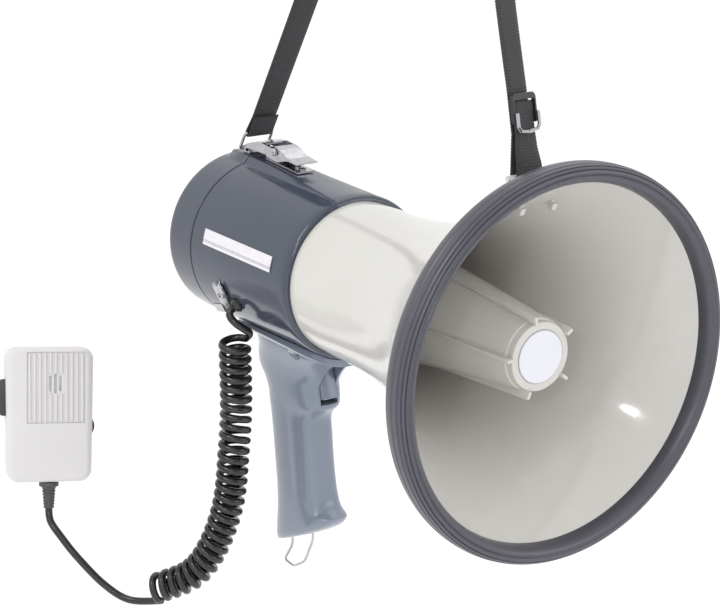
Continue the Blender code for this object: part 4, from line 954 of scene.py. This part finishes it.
core = turned("saddle_bore", [(0.0, -0.10), (0.0590, -0.10), (0.0576, -0.190),
                              (case_r(-0.190) + 0.0004, -0.1901),
                              (case_r(-0.34) + 0.0004, -0.340), (0.0, -0.34)], None, steps=160)
cavity = skin("grip_cavity", [[at(x + u, v, z) for u, v in superoval(a, b, 24, 2.4)]
                              for x, z, a, b in ((-0.2715, -0.1250, 0.0185, 0.0110),
                                                 (-0.2745, -0.0760, 0.0235, 0.0140),
                                                 (-0.2720, -0.0400, 0.0260, 0.0150))], None)
mouth = block("trigger_mouth", (0.040, 0.0134, 0.0325),
              lambda u, v, w: at(-0.2380 + u, v, -0.0800 + w))
bores = []
lean = math.radians(26.0)
for side in (-1, 1):
    rings = []
    for r in (0.0594, 0.0700):
        ring = []
        for k in range(32):
            t = math.tau * k / 32
            u, v = 0.0052 * math.cos(t), 0.0052 * math.sin(t)
            ring.append(at(-0.2385 + u, side * (r * math.sin(lean) + v * math.cos(lean)),
                           -r * math.cos(lean) + v * math.sin(lean)))
        rings.append(ring)
    bores.append(skin("screw_well", rings, None))
carve(stem, [saddle], "UNION")
carve(stem, [core, cavity, mouth] + bores)
grip = together("grip_skin", [stem], GRIP_ABS, slot="grip_plastic", sharp=40)
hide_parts("grip")
print("grip faces:", len(grip.data.polygons))

# %% Trigger
blade = eased([(-0.0045, 0.0030, 0.002), (0.0060, 0.0030, 0.002), (0.0100, 0.0000, 0.003),
               (0.0120, -0.0080, 0.004), (0.0150, -0.0150, 0.004), (0.0185, -0.0235, 0.0014),
               (0.0120, -0.0255, 0.002), (0.0060, -0.0240, 0.003), (-0.0020, -0.0160, 0.003),
               (-0.0048, -0.0040, 0.003)], n=4)
trigger = slab("trigger_skin", blade, 0.0124, GRIP_ABS,
               lambda u, v, w: at(-0.2520 + u, w, -0.0680 + v), bevel=1.1 * MM,
               body="trigger", slot="grip_plastic")
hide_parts("trigger")

# %% [markdown]
# ## Microphone
# The fist microphone hangs in its own frame: right, back and up. Its two shells meet
# in a fine seam, and the front one has a sunken ribbed panel with three sound slots.

# %% Microphone shells
MIC_RIGHT = Vector((0.350, 0.934, -0.074)).normalized()
MIC_UP = Vector((-0.249, 0.168, 0.954)).normalized()
MIC_DEEP = MIC_UP.cross(MIC_RIGHT).normalized()
MIC_UP = MIC_RIGHT.cross(MIC_DEEP)
MIC = at(-0.3656, -0.1459, -0.1137)


def mic_at(x, y, z):
    """A point in the microphone's frame: x right, y back from its face, z up."""
    return MIC + MIC_RIGHT * x + MIC_DEEP * y + MIC_UP * z


def mic_ring(y, inset):
    """The microphone's outline at depth y, drawn in by inset."""
    w, h, r = 0.0302 - inset, 0.0467 - inset, max(0.0085 - inset, 0.002)
    ring = []
    for cx, cz, q in ((w - r, h - r, 0), (-w + r, h - r, 1),
                      (-w + r, -h + r, 2), (w - r, -h + r, 3)):
        for k in range(9):
            a = math.pi / 2 * (q + k / 8)
            x, z = cx + r * math.cos(a), cz + r * math.sin(a)
            ring.append(mic_at(x * (1.0 - 0.05 * max(0.0, -z / h)), y, z))
    return ring


face = [mic_ring(0.0052 * (1 - math.sin(math.pi / 2 * k / 8)),
                 0.0046 * (1 - math.cos(math.pi / 2 * k / 8))) for k in range(8, -1, -1)]
face += [mic_ring(0.0168, 0.0), mic_ring(0.0170, 0.0004), mic_ring(0.0170, 0.0028),
         mic_ring(0.0032, 0.0030)]
front = skin("mic_face", face, None)
tools = [block("panel_recess", (0.0396, 0.0020, 0.0492),
               lambda u, v, w: mic_at(0.0042 + u, v, 0.0188 + w))]
for k in range(3):
    tall = 0.0125 if k == 1 else 0.0105
    tools.append(block("slot", (0.0018, 0.0200, tall),
                       lambda u, v, w: mic_at(0.0003 + 0.0034 * k + u, v, 0.0216 + w)))
tools.append(block("ptt_window", (0.0200, 0.0096, 0.0264),
                   lambda u, v, w: mic_at(-0.0302 + u, 0.0100 + v, 0.0120 + w)))
tools.append(block("wheel_window", (0.0100, 0.0048, 0.0160),
                   lambda u, v, w: mic_at(0.0300 + u, 0.0100 + v, -0.0085 + w)))
carve(front, tools)
parts = [front]
for k in range(11):
    x = -0.0139 + 0.00362 * k
    low, high = -0.0053, 0.0429
    spans = [(low, high)]
    if min(abs(x - 0.0003 - 0.0034 * j) for j in range(3)) < 0.0016:
        spans = [(low, 0.0145), (0.0287, high)]
    for a, b in spans:
        rib = [(x - 0.0009, a), (x + 0.0009, a), (x + 0.0009, b), (x - 0.0009, b)]
        parts.append(slab("rib", rib, 0.0011, None,
                          lambda u, v, w: mic_at(u, 0.0006 - w, v), bevel=0.3 * MM))
mic_front = together("mic_front_skin", parts, MIC_ABS, slot="microphone_plastic")
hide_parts("mic_front_shell")
rear = [mic_ring(0.0176, 0.0026), mic_ring(0.0174, 0.0005), mic_ring(0.0176, 0.0)]
rear += [mic_ring(0.0268 + 0.0045 * math.sin(math.pi / 2 * k / 6),
                  0.0045 * (1 - math.cos(math.pi / 2 * k / 6))) for k in range(7)]
mic_back = skin("mic_back_skin", rear, MIC_ABS, slot="microphone_plastic")
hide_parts("mic_back_shell")
print("microphone face:", len(mic_front.data.polygons), "faces")

# %% Press-to-talk bar and cord boot
bar = eased([(-0.0345, -0.0126, 0.0024), (-0.0262, -0.0126, 0), (-0.0262, 0.0126, 0),
             (-0.0345, 0.0126, 0.0024)], n=4)
talk = slab("talk_bar", bar, 0.0088, NYLON_GREY,
            lambda u, v, w: mic_at(u + 0.0006, 0.0100 + w, 0.0120 + v), bevel=0.6 * MM,
            body="talk_button", slot="dark_grey_plastic")
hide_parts("ptt_button")
profile = [(0.0, 0.0), (0.0064, 0.0), (0.0068, -0.0004), (0.0068, -0.0026), (0.0064, -0.0030),
           (0.0049, -0.0036)]
for k in range(6):
    z = -0.0046 - 0.0022 * k
    profile += [(0.0048 - 0.00018 * k, z), (0.0042 - 0.00016 * k, z - 0.0004),
                (0.0042 - 0.00016 * k, z - 0.0010), (0.0047 - 0.00018 * k, z - 0.0014)]
profile += [(0.0036, -0.0180), (0.0, -0.0180)]
boot = skin("boot_skin", [[mic_at(r * math.cos(t), 0.0100 + r * math.sin(t), -0.0470 + z)
                           for t in (math.tau * k / 48 for k in range(48))]
                          for r, z in profile], BOOT_RUBBER, slot="black_plastic")
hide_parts("mic_boot")

# %% [markdown]
# The stage is one broad pale floor well below the object and a bright even surround,
# which gives most of the light. A soft key stands high on the viewer's left, three
# weak fills round the forms off, and two small lamps leave glints on glossy plastic.
# The Standard view transform keeps the white floor white and the colours as written.

# %% Floor, surround and lights
floor_mat, floor_shader = blank("pale_floor_paint", 0.9)
floor_nodes = floor_mat.node_tree
paint = add(floor_mat, "ShaderNodeTexNoise", {"Scale": 2.0, "Detail": 2.0})
floor_mix = add(floor_mat, "ShaderNodeMix", {"data_type": "RGBA"})
floor_mix.inputs[6].default_value = linear("#FFFFFF")
floor_mix.inputs[7].default_value = linear("#FCFCFC")
floor_nodes.links.new(paint.outputs[0], floor_mix.inputs[0])
floor_nodes.links.new(floor_mix.outputs[2], floor_shader.inputs["Base Color"])
floor_me = bpy.data.meshes.new("floor")
rim_pts = [(30 * math.cos(math.tau * k / 48), 30 * math.sin(math.tau * k / 48), -0.56)
           for k in range(48)]
floor_me.from_pydata(rim_pts, [], [tuple(range(48))])
floor_me.materials.append(floor_mat)
floor = bpy.data.objects.new("floor", floor_me)
bpy.context.scene.collection.objects.link(floor)

world = bpy.data.worlds.new("surround")
bpy.context.scene.world = world
bpy.context.scene.view_settings.view_transform = "Standard"
world.use_nodes = True
sky = world.node_tree.nodes["Background"]
sky.inputs["Color"].default_value = linear("#FFFFFF")
sky.inputs["Strength"].default_value = 1.08


def area(name, spot, aim, size, power, tint="#FFFFFF"):
    """One soft square light at a place in camera axes (right, up, toward the viewer)."""
    lamp = bpy.data.lights.new(name, "AREA")
    lamp.shape, lamp.size, lamp.energy = "SQUARE", size, power
    lamp.color = linear(tint)[:3]
    obj = bpy.data.objects.new(name, lamp)
    bpy.context.scene.collection.objects.link(obj)
    obj.location = (CAMERA_RIGHT * spot[0] + CAMERA_UP * spot[1] + CAMERA_BACK * spot[2]
                    + Vector(aim))
    obj.rotation_euler = (Vector(aim) - obj.location).to_track_quat("-Z", "Y").to_euler()
    return obj


CENTRE = (0.05, 0.0, 0.10)
area("key", (-0.95, 1.15, 1.10), CENTRE, 0.6, 6.0)
area("top", (0.30, 1.50, -0.20), CENTRE, 1.2, 3.0)
area("right_fill", (1.40, 0.30, 0.60), CENTRE, 0.8, 3.0)
area("low_fill", (-0.30, -0.70, 1.30), CENTRE, 0.9, 1.0)
area("glint_high", (-0.70, 0.60, 1.60), CENTRE, 0.10, 2.2)
area("glint_low", (-0.20, 0.10, 1.50), CENTRE, 0.07, 1.4)
